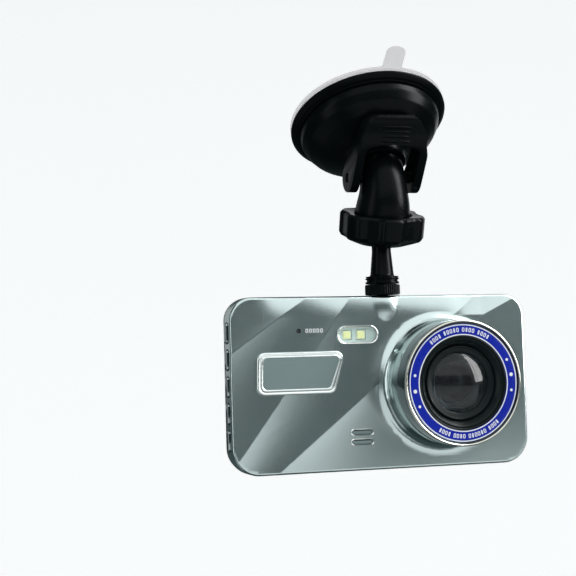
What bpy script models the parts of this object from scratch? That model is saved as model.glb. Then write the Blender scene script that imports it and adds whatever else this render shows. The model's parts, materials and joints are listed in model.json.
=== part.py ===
"""Dash camera on a windscreen suction mount: a hollow silver front shell with a
projecting lens turret, a glossy screen at the back, five side keys, and a mount
made of a ball stud, a lock nut, a bent arm, a cam lever and a suction cup.

Lengths are written in millimetres in the camera's own axes (X to the right as
seen from the front, Y from the lens towards the screen, Z up, centre of the
front face at 0, 0, 0) and are turned into metres about the centre of the
suction face, which is the part's origin."""

import math

import bmesh
import bpy
from mathutils import Matrix, Vector

# ---------------------------------------------------------------- dimensions
BODY_W, BODY_H = 113.0, 62.0          # camera body, width and height
SHELL_D = 8.0                         # depth of the front shell's side wall
FRAME_Y0, BODY_D = 8.3, 10.5          # rear frame starts, whole body depth
R_TOP, R_BOTTOM = 8.0, 9.7            # corner radii of the outline
WALL = 1.6

LENS_X, LENS_Z = 22.9, -0.7           # lens turret axis
BOSS_R, BOSS_H, BOSS_BORE = 22.0, 9.5, 20.0
COLLAR_R, COLLAR_H = 22.2, 16.5
TURRET_H = 18.0                       # front of the trim ring
RING_R0, RING_R1 = 16.7, 20.6         # printed ring
FRONT_LENS_R = 10.35

PILL_X, PILL_Z, PILL_W, PILL_H = -9.62, 17.15, 15.55, 6.6   # lamp window
LED_X = (-13.2, -7.9)
SLOT_X, SLOT_W, SLOT_H, SLOT_Z = -8.7, 8.6, 2.2, (-17.4, -20.85)
RESET_X, RESET_Z, RESET_R = -31.6, 18.9, 0.65
PLATE = ((-47.2, 11.65), (-14.4, 11.7), (-18.6, -3.35), (-47.6, -3.35))
SPEAKER_X, SPEAKER_Z = -8.7, -19.1

KEY_Z = (18.7, 9.35, 0.0, -9.35, -18.7)
KEY_L, KEY_W, KEY_Y, KEY_OUT = 7.1, 2.8, 4.8, 0.8
KEY_NAMES = ("button_power", "button_menu", "button_up", "button_ok", "button_down")

USB_X, JACK_X, CARD_Z, PORT_Y = -32.6, -44.0, 11.0, 3.7
POSTS = ((-49.0, 21.5), (-49.0, -21.5), (50.3, 20.5), (50.3, -21.0))

MOUNT_X, MOUNT_Y = 1.9, 3.9           # axis of the threaded stud
ROD_R, INSERT_R = 2.0, 3.0
THUMB_R, THUMB_Z = 6.3, (31.3, 35.0)
STEM_Z0, STEM_R0, STEM_R1 = 37.9, 4.3, 3.4
BALL_Z, BALL_R = 53.0, 5.4
ARM_LEAN = math.radians(15.8)         # lower arm leans towards the front
ARM_L = 17.25                         # ball centre to the elbow corner
ARM_R, THREAD_R, TUBE_R = 9.9, 9.0, 8.2
NUT_W, NUT_R, NUT_LOBES = (-3.0, 8.2), 15.4, 6
NUT_TURN = math.radians(25.7)  # where the first lobe stands
CUP_TILT = math.radians(28.6)         # glass side's normal, from vertical
CUP_T = 30.2                          # rim plane to the elbow corner
CUP_R, DOME_R = 28.9, 25.9
PAD_R, FILM_R, STACK = 28.3, 28.8, 2.0
TAB_W, TAB_L = 7.3, 11.0
PIVOT_T, LEVER_L, EAR_R, EAR_IN, EAR_OUT = 26.0, 25.3, 5.2, 10.3, 13.3

# ------------------------------------------------------------------- frames
X = Vector((1, 0, 0))
ARM_AXIS = Vector((0, -math.sin(ARM_LEAN), math.cos(ARM_LEAN)))
CUP_N = Vector((0, math.sin(CUP_TILT), math.cos(CUP_TILT)))
BALL = Vector((MOUNT_X, MOUNT_Y, BALL_Z))
ELBOW = BALL + ARM_AXIS * ARM_L
RIM = ELBOW + CUP_N * CUP_T
ORIGIN = RIM + CUP_N * STACK
PIVOT = RIM - CUP_N * PIVOT_T
CUP_E = X.cross(CUP_N)                # across the cup, towards the front and up
LEVER_DIR = (CUP_E * 0.9065 + CUP_N * 0.4238).normalized()


def frame(origin, axis, side=X):
    """Matrix whose Z runs along axis and whose X is as near side as it can be."""
    z = axis.normalized()
    x = (side - z * side.dot(z)).normalized()
    y = z.cross(x)
    return Matrix(((x.x, y.x, z.x, origin[0]), (x.y, y.y, z.y, origin[1]),
                   (x.z, y.z, z.z, origin[2]), (0, 0, 0, 1)))


LENS = frame(Vector((LENS_X, 0, LENS_Z)), Vector((0, -1, 0)))   # height runs out of the face
ARM = frame(BALL, ARM_AXIS)
CUP = frame(RIM, -CUP_N)                                        # height runs away from the glass
STUD = frame(Vector((MOUNT_X, MOUNT_Y, 0)), Vector((0, 0, 1)))
FACE = Matrix.Identity(4)

# ------------------------------------------------------------- mesh building


def lathe(profile, seg, matrix=FACE, radius=None):
    """Solid turned about the matrix's Z from (radius, height) points that close on themselves."""
    bm = bmesh.new()
    rings = []
    for i, (r, h) in enumerate(profile):
        if r < 1e-6:
            rings.append([bm.verts.new((0, 0, h))])
            continue
        ring = []
        for k in range(seg):
            a = 2 * math.pi * k / seg
            q = r if radius is None else radius(i, r, a)
            ring.append(bm.verts.new((q * math.cos(a), q * math.sin(a), h)))
        rings.append(ring)
    pairs = list(zip(rings, rings[1:]))
    if len(rings[0]) > 1 or len(rings[-1]) > 1:
        pairs.append((rings[-1], rings[0]))
    for a, b in pairs:
        if len(a) == 1 and len(b) == 1:
            continue
        for k in range(seg):
            j = (k + 1) % seg
            if len(a) == 1:
                bm.faces.new((a[0], b[k], b[j]))
            elif len(b) == 1:
                bm.faces.new((a[k], b[0], a[j]))
            else:
                bm.faces.new((a[k], b[k], b[j], a[j]))
    return done(bm, matrix)


def loft(sections, matrix=FACE):
    """Solid through closed outlines with equal numbers of points, capped at both ends."""
    bm = bmesh.new()
    rings = [[bm.verts.new(p) for p in s] for s in sections]
    n = len(rings[0])
    for a, b in zip(rings, rings[1:]):
        for k in range(n):
            bm.faces.new((a[k], a[(k + 1) % n], b[(k + 1) % n], b[k]))
    bm.faces.new(rings[0])
    bm.faces.new(rings[-1])
    return done(bm, matrix)


def done(bm, matrix=FACE):
    bmesh.ops.recalc_face_normals(bm, faces=bm.faces[:])
    if bm.calc_volume(signed=True) < 0:
        bmesh.ops.reverse_faces(bm, faces=bm.faces[:])
    bm.transform(matrix)
    return bm


def box(x, y, z, bevel=0.0):
    bm = bmesh.new()
    bmesh.ops.create_cube(bm, size=1.0)
    bm.transform(Matrix.Translation(((x[0] + x[1]) / 2, (y[0] + y[1]) / 2, (z[0] + z[1]) / 2))
                 @ Matrix.Diagonal((x[1] - x[0], y[1] - y[0], z[1] - z[0], 1)))
    if bevel:
        bmesh.ops.bevel(bm, geom=bm.edges[:], offset=bevel, segments=1, affect="EDGES")
    return done(bm)


def joined(*parts):
    """Several separate solids in one mesh, for use as a cutter or as added material."""
    bm = bmesh.new()
    for part in parts:
        me = bpy.data.meshes.new("part_of")
        part.to_mesh(me)
        bm.from_mesh(me)
        bpy.data.meshes.remove(me)
        part.free()
    return bm


def arc_outline(corners, seg):
    """Outline through rounded corners: (x, z, radius) each, taken anticlockwise seen from the front."""
    out = []
    n = len(corners)
    for i, (x, z, r) in enumerate(corners):
        p = Vector((x, z))
        a = (Vector(corners[i - 1][:2]) - p).normalized()
        b = (Vector(corners[(i + 1) % n][:2]) - p).normalized()
        half = a.angle(b) / 2
        centre = p + (a + b).normalized() * (r / math.sin(half))
        t0 = centre + Vector((0, 0)) - centre
        s = (p + a * (r / math.tan(half))) - centre
        e = (p + b * (r / math.tan(half))) - centre
        sweep = s.angle_signed(e)
        for k in range(seg + 1):
            w = -sweep * k / seg
            c, q = math.cos(w), math.sin(w)
            out.append((centre.x + s.x * c - s.y * q, centre.y + s.x * q + s.y * c))
    return out


def body_outline(inset, y, seg=6):
    w, h = BODY_W / 2 - inset, BODY_H / 2 - inset
    rt, rb = max(R_TOP - inset, 0.8), max(R_BOTTOM - inset, 0.8)
    flat = arc_outline(((-w, -h, rb), (w, -h, rb), (w, h, rt), (-w, h, rt)), seg)
    return [(x, y, z) for x, z in flat]


def pill(cx, cz, w, h, y, seg=6):
    r = min(w, h) / 2 * 0.999
    flat = arc_outline(((cx - w / 2, cz - h / 2, r), (cx + w / 2, cz - h / 2, r),
                        (cx + w / 2, cz + h / 2, r), (cx - w / 2, cz + h / 2, r)), seg)
    return [(x, y, z) for x, z in flat]


# --------------------------------------------------------------- materials


def material(name, colour, rough, metal, alpha=1.0):
    m = bpy.data.materials.new(name)
    m.use_nodes = True
    b = m.node_tree.nodes["Principled BSDF"]
    b.inputs["Base Color"].default_value = (*colour, 1)
    b.inputs["Roughness"].default_value = rough
    b.inputs["Metallic"].default_value = metal
    b.inputs["Alpha"].default_value = alpha
    m.diffuse_color = (*colour, alpha)
    return m


def put(name, bm, finish, origin=None, sharp=30, helper=False):
    """Object from a mesh in the camera's millimetres, with its origin at the given point."""
    o = Vector(origin) if origin is not None else ORIGIN
    bm.transform(Matrix.Scale(0.001, 4) @ Matrix.Translation(-o))
    me = bpy.data.meshes.new(name)
    bm.to_mesh(me)
    bm.free()
    me.shade_smooth()
    me.set_sharp_from_angle(angle=math.radians(sharp))
    ob = bpy.data.objects.new(name, me)
    bpy.context.scene.collection.objects.link(ob)
    ob.location = (o - ORIGIN) * 0.001
    if helper:
        ob.hide_render = True
        ob.display_type = "WIRE"
    else:
        me.materials.append(material("mat_" + name, *finish))
    return ob


def boolean(ob, operation, bm, name):
    """Adds or cuts a shape given in the camera's millimetres."""
    helper = put(name, bm, None, helper=True)
    m = ob.modifiers.new(name, "BOOLEAN")
    m.operation = operation
    m.object = helper
    m.solver = "EXACT"
    return m


SILVER = ((0.30, 0.36, 0.36), 0.32, 0.85)
BLACK_PLASTIC = ((0.012, 0.013, 0.014), 0.42, 0.0)
GLOSS_BLACK = ((0.006, 0.006, 0.007), 0.08, 0.0)
DARK_CHROME = ((0.06, 0.07, 0.075), 0.12, 1.0)
CHROME = ((0.72, 0.74, 0.76), 0.12, 1.0)
BLUE = ((0.005, 0.02, 0.30), 0.28, 0.0)
DARK_GREY = ((0.02, 0.022, 0.024), 0.5, 0.0)
GLASS = ((0.02, 0.03, 0.035), 0.03, 0.0, 0.55)
CLEAR = ((0.72, 0.76, 0.74), 0.06, 0.0, 0.4)
PCB = ((0.01, 0.09, 0.05), 0.45, 0.0)
STEEL = ((0.55, 0.55, 0.55), 0.3, 1.0)
BRASS = ((0.72, 0.52, 0.22), 0.3, 1.0)
RUBBER = ((0.012, 0.013, 0.014), 0.55, 0.0)
GEL = ((0.80, 0.74, 0.78), 0.25, 0.0, 0.6)
FILM = ((0.84, 0.78, 0.81), 0.2, 0.0, 0.5)
LED_FINISH = ((0.86, 0.85, 0.38), 0.35, 0.0)
BATTERY = ((0.55, 0.56, 0.58), 0.35, 0.4)


def build():
    # ------------------------------------------------------------ front shell
    shell = put("front_shell", loft([body_outline(0.9, 0.0), body_outline(0.27, 0.27),
                                     body_outline(0.0, 0.9), body_outline(0.0, SHELL_D)]), SILVER)
    boss = lathe([(24.8, -0.8), (23.9, 0.12), (22.8, 0.9), (22.2, 2.4), (BOSS_R, 4.0),
                  (BOSS_R, BOSS_H), (17.5, BOSS_H), (17.5, -0.8)], 48, LENS)
    nose = lathe([(0, 21.9), (4.3, 22.4), (6.5, 24.2), (7.2, 27.0), (7.2, 30.55),
                  (6.8, 30.9), (0, 30.9)], 24, Matrix.Translation((MOUNT_X - 0.4, 4.3, 0)))
    cut = bmesh.ops.bisect_plane(nose, geom=nose.verts[:] + nose.edges[:] + nose.faces[:], plane_co=(0, 1.2, 0),
                                 plane_no=(0, 1, 0), clear_outer=True)
    bmesh.ops.contextual_create(nose, geom=[e for e in cut["geom_cut"] if isinstance(e, bmesh.types.BMEdge)])
    nose = done(nose)
    boolean(shell, "UNION", boss, "add_boss")
    boolean(shell, "UNION", nose, "add_nose")
    cavity = loft([body_outline(WALL, WALL), body_outline(WALL, SHELL_D + 5)])
    boolean(shell, "DIFFERENCE", cavity, "cut_cavity")
    bore = lathe([(0, -3.0), (BOSS_BORE, -3.0), (BOSS_BORE, 12.0), (0, 12.0)], 48, LENS)
    boolean(shell, "DIFFERENCE", bore, "cut_turret_bore")
    added = [lathe([(0, 1.2), (1.9, 1.2), (1.9, 5.35), (0, 5.35)], 12,
                   frame(Vector((x, 0, z)), Vector((0, 1, 0)))) for x, z in POSTS]
    added.append(lathe([(0, 21.4), (3.75, 21.4), (3.75, 30.0), (0, 30.0)], 20, STUD))
    boolean(shell, "UNION", joined(*added), "add_posts")
    cuts = [loft([pill(PILL_X, PILL_Z, PILL_W - 0.7, PILL_H - 0.7, y) for y in (-1.0, 2.5)])]
    cuts += [loft([pill(SLOT_X, z, SLOT_W, SLOT_H, y, 4) for y in (-1.0, 2.5)]) for z in SLOT_Z]
    cuts.append(lathe([(0, -1.0), (RESET_R, -1.0), (RESET_R, 2.5), (0, 2.5)], 12,
                      frame(Vector((RESET_X, 0, RESET_Z)), Vector((0, 1, 0)))))
    cuts += [box((-60, -53.5), (KEY_Y - KEY_W / 2 - 0.3, KEY_Y + KEY_W / 2 + 0.3),
                 (z - KEY_L / 2 - 0.3, z + KEY_L / 2 + 0.3)) for z in KEY_Z]
    cuts.append(box((USB_X - 4.1, USB_X + 4.1), (PORT_Y - 1.75, PORT_Y + 1.75), (28.5, 33)))
    cuts.append(lathe([(0, 28.5), (1.9, 28.5), (1.9, 33.0), (0, 33.0)], 16,
                      Matrix.Translation((JACK_X, PORT_Y, 0))))
    cuts.append(box((53, 60), (PORT_Y - 0.9, PORT_Y + 0.9), (CARD_Z - 6, CARD_Z + 6)))
    cuts.append(lathe([(0, 22.2), (INSERT_R + 0.08, 22.2), (INSERT_R + 0.08, 34.0), (0, 34.0)], 20, STUD))
    cuts += [lathe([(0, 2.4), (0.9, 2.4), (0.9, 7.0), (0, 7.0)], 8,
                   frame(Vector((x, 0, z)), Vector((0, 1, 0)))) for x, z in POSTS]
    boolean(shell, "DIFFERENCE", joined(*cuts), "cut_openings")

    # ------------------------------------------------- rear frame and screen
    rear = put("rear_frame", loft([body_outline(0.25, FRAME_Y0), body_outline(0.25, 9.8),
                                   body_outline(0.45, 10.3), body_outline(0.9, BODY_D)]), BLACK_PLASTIC)
    boolean(rear, "DIFFERENCE", loft([body_outline(4.0, 7.0), body_outline(4.0, 12.0)]), "cut_screen_opening")
    boolean(rear, "DIFFERENCE", loft([body_outline(2.2, 9.35), body_outline(2.2, 12.0)]), "cut_glass_recess")
    put("screen_glass", loft([body_outline(2.45, 9.6), body_outline(2.45, 10.3),
                              body_outline(2.6, 10.45)]), GLOSS_BLACK)
    put("lcd_panel", box((-48.5, 48.5), (7.8, 9.2), (-26.0, 26.0), 0.3), DARK_GREY)

    # -------------------------------------------------------- boards, battery
    board = put("main_board", box((-51.6, 53.6), (5.7, 6.7), (-25.0, 25.0)), PCB)
    holes = [lathe([(0, 4.5), (1.2, 4.5), (1.2, 8.0), (0, 8.0)], 8,
                   frame(Vector((x, 0, z)), Vector((0, 1, 0)))) for x, z in POSTS]
    holes.append(box((MOUNT_X - 5, MOUNT_X + 5), (4, 8), (20.6, 30)))
    boolean(board, "DIFFERENCE", joined(*holes), "cut_board")
    put("processor", box((-12, 2), (4.3, 5.4), (-9, 5), 0.2), DARK_GREY)
    put("battery", box((-46, -18), (2.0, 5.2), (-26, -8), 0.5), BATTERY)
    speaker_m = frame(Vector((SPEAKER_X, 0, SPEAKER_Z)), Vector((0, 1, 0)))
    put("speaker", lathe([(0, 2.6), (5.2, 2.1), (6.2, 2.1), (7.4, 2.1), (7.4, 4.6), (4.5, 5.2), (0, 5.2)],
                         24, speaker_m), DARK_GREY)
    put("microphone", lathe([(0, 3.6), (2.0, 3.6), (2.0, 5.4), (0, 5.4)], 12,
                            frame(Vector((4.5, 0, -27.0)), Vector((0, 1, 0)))), STEEL)
    for i, (x, z) in enumerate(POSTS, 1):
        put("board_screw_%d" % i, lathe([(0, 2.8), (0.65, 2.8), (0.65, 6.85), (1.6, 6.85), (1.6, 7.3),
                                        (1.1, 7.6), (0, 7.6)], 12,
                                        frame(Vector((x, 0, z)), Vector((0, 1, 0)))), STEEL)

    # -------------------------------------------------------------- ports
    usb = put("usb_port", box((USB_X - 3.85, USB_X + 3.85), (1.95, 5.5), (20.8, 29.2)), STEEL)
    boolean(usb, "DIFFERENCE", box((USB_X - 3.35, USB_X + 3.35), (2.45, 5.0), (22.3, 31)), "cut_usb")
    boolean(usb, "UNION", box((USB_X - 2.4, USB_X + 2.4), (3.3, 4.1), (22.0, 28.2)), "add_tongue")
    jack = put("av_jack", box((JACK_X - 3.0, JACK_X + 3.0), (1.95, 5.5), (23.8, 28.2), 0.2), BLACK_PLASTIC)
    boolean(jack, "DIFFERENCE", lathe([(0, 24.6), (1.3, 24.6), (1.3, 31), (0, 31)], 16,
                                      Matrix.Translation((JACK_X, PORT_Y, 0))), "cut_jack")
    card = put("card_slot", box((42.2, 54.4), (2.9, 4.5), (CARD_Z - 6.2, CARD_Z + 6.2)), STEEL)
    boolean(card, "DIFFERENCE", box((42.9, 58), (3.25, 4.15), (CARD_Z - 5.6, CARD_Z + 5.6)), "cut_card")

    # ----------------------------------------------------------- side keys
    for name, z in zip(KEY_NAMES, KEY_Z):
        out = BODY_W / 2
        cap = loft([[(-out - KEY_OUT + dx, y, zz) for y, zz in
                     arc_outline(((KEY_Y - KEY_W / 2 + d, z - KEY_L / 2 + d, 0.8), (KEY_Y + KEY_W / 2 - d, z - KEY_L / 2 + d, 0.8),
                                  (KEY_Y + KEY_W / 2 - d, z + KEY_L / 2 - d, 0.8), (KEY_Y - KEY_W / 2 + d, z + KEY_L / 2 - d, 0.8)), 3)]
                    for dx, d in ((0, 0.35), (0.3, 0.0), (KEY_OUT + 1.9, 0.0))])
        key = put(name, cap, GLOSS_BLACK, origin=(-out, KEY_Y, z))
        boolean(key, "UNION", box((-out + 1.85, -out + 2.4), (KEY_Y - 2.1, KEY_Y + 2.1),
                                  (z - 4.3, z + 4.3)), "add_flange_" + name)
    strip = put("key_board", box((-53.0, -52.2), (2.3, 5.4), (-23.5, 23.5)), PCB)
    boolean(strip, "UNION", joined(*[box((-53.55, -52.6), (KEY_Y - 2.3, KEY_Y + 0.3), (z - 1.6, z + 1.6))
                                     for z in KEY_Z]), "add_switches")
    reset_m = frame(Vector((RESET_X, 0, RESET_Z)), Vector((0, 1, 0)))
    put("reset_switch", box((RESET_X - 1.9, RESET_X + 1.9), (3.9, 5.4), (RESET_Z - 1.6, RESET_Z + 1.6), 0.15), BLACK_PLASTIC)
    put("reset_button", lathe([(0, 0.6), (0.4, 0.6), (0.4, 2.0), (0.9, 2.0), (0.9, 3.5), (0, 3.5)], 12, reset_m),
        DARK_GREY, origin=(RESET_X, 2.0, RESET_Z))

    # --------------------------------------------------------- lamp and plate
    ring = put("lamp_bezel", loft([pill(PILL_X, PILL_Z, PILL_W - 0.3, PILL_H - 0.3, -0.45),
                                   pill(PILL_X, PILL_Z, PILL_W, PILL_H, -0.1)]), CHROME)
    boolean(ring, "DIFFERENCE", loft([pill(PILL_X, PILL_Z, PILL_W - 1.3, PILL_H - 1.3, y) for y in (-2.0, 2.0)]), "cut_lamp_bezel")
    put("lamp_window", loft([pill(PILL_X, PILL_Z, PILL_W - 1.1, PILL_H - 1.1, y) for y in (0.1, 1.3)]), CLEAR)
    put("lamp_board", box((PILL_X - 8.2, PILL_X + 8.2), (3.1, 3.9), (PILL_Z - 4.0, PILL_Z + 4.0)), PCB)
    for i, x in enumerate(LED_X, 1):
        put("lamp_led_%d" % i, box((x - 1.8, x + 1.8), (2.0, 2.8), (PILL_Z - 1.6, PILL_Z + 1.6), 0.1), LED_FINISH)
    cx, cz = sum(p[0] for p in PLATE) / 4, sum(p[1] for p in PLATE) / 4

    def plate_outline(k, y):
        flat = arc_outline([(x + k * (1 if x < cx else -1), z + k * (1 if z < cz else -1), 1.6) for x, z in
                            (PLATE[3], PLATE[2], PLATE[1], PLATE[0])], 4)
        return [(x, y, z) for x, z in flat]

    put("name_plate", loft([plate_outline(1.9, -0.75), plate_outline(1.2, -1.1), plate_outline(0.5, -0.95),
                            plate_outline(0.0, -0.1)]), SILVER)

    # ------------------------------------------------------------ lens turret
    put("lens_collar", lathe([(COLLAR_R, 9.8), (COLLAR_R, COLLAR_H), (17.2, COLLAR_H), (17.2, 5.0),
                              (19.6, 5.0), (19.6, 9.8)], 40, LENS), DARK_CHROME)
    put("trim_ring", lathe([(COLLAR_R, 16.7), (COLLAR_R, 17.6), (21.8, TURRET_H), (21.1, TURRET_H),
                            (20.85, 17.4), (20.85, 16.7)], 40, LENS), CHROME)
    put("blue_ring", lathe([(RING_R1, 16.75), (RING_R1, 17.3), (RING_R0, 17.3), (RING_R0, 16.75)], 40, LENS), BLUE)
    put("lens_bezel", lathe([(16.4, 12.0), (16.4, 17.2), (15.6, 17.2), (13.3, 14.4), (13.3, 12.0)], 32, LENS), DARK_GREY)
    put("lens_barrel", lathe([(13.0, -0.6), (13.0, 13.4), (10.7, 13.4), (10.7, 11.0), (7.0, 10.0),
                              (7.0, 1.0), (5.0, 1.0), (5.0, -0.6)], 24, LENS), DARK_GREY)
    put("lens_retainer", lathe([(13.0, 13.6), (13.0, 14.7), (10.7, 14.2), (10.7, 13.6)], 32, LENS), DARK_GREY)
    put("front_lens", lathe([(0, 11.6), (FRONT_LENS_R, 11.6), (FRONT_LENS_R, 13.9), (8.6, 15.1), (6.2, 15.9),
                             (3.2, 16.4), (0, 16.55)], 28, LENS), GLASS)
    put("inner_lens", lathe([(0, 5.2), (6.7, 5.2), (6.7, 7.6), (4.0, 8.6), (0, 9.1)], 24, LENS), GLASS)
    put("image_sensor", box((LENS_X - 4, LENS_X + 4), (1.4, 2.5), (LENS_Z - 4, LENS_Z + 4)), GLASS[:3])
    put("sensor_board", box((LENS_X - 13, LENS_X + 13), (2.8, 3.8), (LENS_Z - 13, LENS_Z + 13)), PCB)

    # ------------------------------------------------- stud, thumb nut, insert
    put("mount_insert", lathe([(INSERT_R - 0.15, 22.5), (INSERT_R - 0.15, 30.6), (ROD_R + 0.25, 30.6), (ROD_R + 0.25, 22.5)], 20, STUD), BRASS)
    put("thumb_nut", lathe([(THUMB_R - 0.3, THUMB_Z[0]), (THUMB_R, THUMB_Z[0] + 0.3), (THUMB_R, THUMB_Z[1] - 0.3),
                            (THUMB_R - 0.3, THUMB_Z[1]), (ROD_R + 0.25, THUMB_Z[1]), (ROD_R + 0.25, THUMB_Z[0])], 32, STUD,
                           radius=lambda i, r, a: r - (0.25 if i < 4 and round(a / (math.pi / 16)) % 2 else 0.0)),
        BLACK_PLASTIC, origin=(MOUNT_X, MOUNT_Y, THUMB_Z[0]))
    ball = [(BALL_R * math.sin(a), BALL_Z - BALL_R * math.cos(a)) for a in [math.radians(d) for d in range(41, 180, 15)]]
    put("ball_stud", lathe([(0, 23.2), (ROD_R, 23.2), (ROD_R, 35.3), (6.1, 35.3), (6.1, 36.0), (5.65, 36.2), (5.65, 36.8),
                            (6.1, 37.0), (6.1, STEM_Z0), (STEM_R0, STEM_Z0), (STEM_R1, 47.5)] + ball + [(0, BALL_Z + BALL_R)],
                           20, STUD), BLACK_PLASTIC, origin=BALL)

    # --------------------------------------------------------- arm, nut, seat
    sock = BALL_R + 0.25
    socket = [(sock * math.cos(a), sock * math.sin(a)) for a in [math.radians(d) for d in (27, 18, 9, 0, -9, -15)]]
    low = [(0, 7.6), (4.9, 7.6), (4.9, 2.75)] + socket + [(5.28, -1.95), (THREAD_R, -1.95), (THREAD_R, 6.6),
           (ARM_R, 7.0), (ARM_R, 12.4), (9.3, 15.2), (8.5, 17.25), (7.0, 19.5), (4.0, 21.6), (0, 22.2)]
    arm = put("elbow_arm", lathe(low, 28, ARM), BLACK_PLASTIC)
    boolean(arm, "UNION", lathe([(0, 17.4), (TUBE_R, 17.4), (TUBE_R, 30.4), (6.9, 33.6), (4.0, 36.2), (0, 37.0)], 28, CUP), "add_tube")
    boolean(arm, "DIFFERENCE", lathe([(0, 14.0), (4.2, 14.0), (4.2, 29.6), (0, 29.6)], 20, CUP), "cut_post_bore")
    slot = box((-20, 20), (-1.85, 1.85), (PIVOT_T - 3.9, PIVOT_T + 1.9))
    slot.transform(CUP)
    boolean(arm, "DIFFERENCE", slot, "cut_pin_slot")
    put("ball_seat", lathe([(0, 7.3), (4.65, 7.3), (4.65, 3.5)] +
                           [((BALL_R + 0.2) * math.sin(a), (BALL_R + 0.2) * math.cos(a)) for a in
                            [math.radians(d) for d in (48, 36, 24, 12)]] + [(0, BALL_R + 0.2)], 24, ARM), DARK_GREY, origin=BALL)

    def lobes(i, r, a):
        if r < 12.0:
            return r
        c = math.cos(NUT_LOBES * (a - NUT_TURN))
        return r - 1.9 * (0.5 - 0.5 * math.tanh(2.2 * (c + 0.15)) / math.tanh(2.53))

    put("lock_nut", lathe([(9.0, NUT_W[0]), (12.6, -1.6), (NUT_R - 0.3, 0.2), (NUT_R, 0.8), (NUT_R, 7.4), (NUT_R - 0.7, NUT_W[1]),
                           (10.3, NUT_W[1]), (10.3, 6.2), (9.35, 6.0), (9.35, -2.25), (6.2, -2.3), (6.2, NUT_W[0])],
                          42, ARM, radius=lobes), BLACK_PLASTIC, origin=BALL)

    # -------------------------------------------------------- cup and lever
    put("cup_housing", lathe([(25.6, 2.85), (DOME_R, 4.0), (25.2, 6.2), (23.4, 8.9), (20.2, 11.4), (15.9, 13.9),
                              (12.2, 15.5), (9.9, 17.0), (9.9, 20.4), (8.55, 20.4), (8.55, 17.1), (4.4, 17.1), (4.4, 13.6),
                              (12.0, 12.4), (17.6, 9.8), (21.9, 6.6), (23.8, 3.3)], 32, CUP), BLACK_PLASTIC)
    put("suction_cup", lathe([(0, 0), (CUP_R, 0), (CUP_R, 0.9), (27.4, 2.0), (25.2, 2.4), (22.8, 2.6), (20.0, 4.0),
                              (13.0, 7.2), (4.5, 7.2), (4.5, 6.2), (9.4, 6.2), (9.4, 1.6), (0, 1.6)], 32, CUP), RUBBER)
    put("gel_pad", lathe([(0, -1.5), (PAD_R - 0.3, -1.5), (PAD_R, -1.1), (PAD_R, -0.2), (0, -0.2)], 32, CUP), GEL)
    half = math.asin(TAB_W / 2 / FILM_R)
    outline = []
    top = math.pi / 2
    for k in range(45):
        a = top + half + (2 * math.pi - 2 * half) * k / 44
        outline.append((FILM_R * math.cos(a), FILM_R * math.sin(a)))
    for k in range(9):
        a = math.pi * k / 8
        outline.append((TAB_W / 2 * math.cos(a), FILM_R + TAB_L - TAB_W / 2 + TAB_W / 2 * math.sin(a)))
    film_m = CUP if (CUP.to_3x3() @ Vector((0, 1, 0))).dot(CUP_E) > 0 else CUP @ Matrix.Rotation(math.pi, 4, "Z")
    put("protective_film", loft([[(x, y, t) for x, y in outline] for t in (-STACK, -STACK + 0.3)], film_m), FILM)

    put("draw_post", lathe([(0, 4.2), (9.0, 4.2), (9.0, 5.6), (3.8, 5.6), (3.8, 28.8), (0, 28.8)], 20, CUP), DARK_GREY)
    boolean(bpy.data.objects["draw_post"], "DIFFERENCE",
            lathe([(0, -8), (1.72, -8), (1.72, 8), (0, 8)], 16, frame(PIVOT, X, Vector((0, 0, 1)))), "cut_post_eye")
    put("lever_pin", lathe([(0, -12.9), (1.45, -12.9), (1.45, 12.9), (0, 12.9)], 16, frame(PIVOT, X, Vector((0, 0, 1)))), STEEL)

    s_axis, p_axis = LEVER_DIR, X.cross(LEVER_DIR)          # p_axis points down and to the front
    side = []
    for k in range(13):                                     # round end about the pivot
        a = math.pi / 2 + math.pi * k / 12
        side.append((EAR_R * math.cos(a), EAR_R * math.sin(a)))
    side += [(7.0, -3.9), (14.0, -2.7), (19.0, -2.5), (23.0, -2.2), (25.0, -1.2), (LEVER_L, 0.1), (24.6, 1.5), (20.0, 3.4), (15.0, 4.6), (7.0, 5.1)]
    sign = 1.0 if p_axis.z < 0 else -1.0

    def at(s, p, x):
        return PIVOT + s_axis * s + p_axis * (sign * p) + X * x

    lever = put("cam_lever", loft([[at(s, p, x) for s, p in side] for x in (-EAR_OUT, EAR_OUT)]), BLACK_PLASTIC, origin=PIVOT)
    n = 10
    gap = [(-9.0, -9.0), (-9.0, 9.0)]
    cut = []
    for x in range(n + 1):                                  # arch over the elbow, rounded across the width
        a = math.pi * x / n
        cut.append((12.2 + 3.6 * math.sin(a) ** 0.7, -EAR_IN * math.cos(a)))
    arch = [(-9.0, -EAR_IN)] + cut + [(-9.0, EAR_IN)]
    boolean(lever, "DIFFERENCE", loft([[at(s, p, x) for s, x in arch] for p in (-9.0, 9.0)]), "cut_arch")
    corner = []
    for sx in (-1, 1):                                      # rounds the paddle's two corners
        pts = [(LEVER_L + 3, sx * (EAR_OUT + 3)), (LEVER_L + 3, sx * (EAR_OUT - 9.0))]
        for k in range(7):
            a = math.pi / 2 * k / 6
            pts.append((LEVER_L + 0.3 - 7.0 + 7.0 * math.cos(a), sx * (EAR_OUT + 0.3 - 9.0 + 9.0 * math.sin(a))))
        pts.append((LEVER_L - 6.7, sx * (EAR_OUT + 3)))
        corner.append(loft([[at(s, p, x) for s, x in pts] for p in (-9.0, 9.0)]))
    boolean(lever, "DIFFERENCE", joined(*corner), "cut_corners")
    boolean(lever, "DIFFERENCE", lathe([(0, -20), (1.75, -20), (1.75, 20), (0, 20)], 16, frame(PIVOT, X, Vector((0, 0, 1)))), "cut_eye")


for old in list(bpy.data.objects):
    bpy.data.objects.remove(old, do_unlink=True)
build()
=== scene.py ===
import json
import math

import bmesh
import bpy
from mathutils import Matrix, Vector

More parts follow.
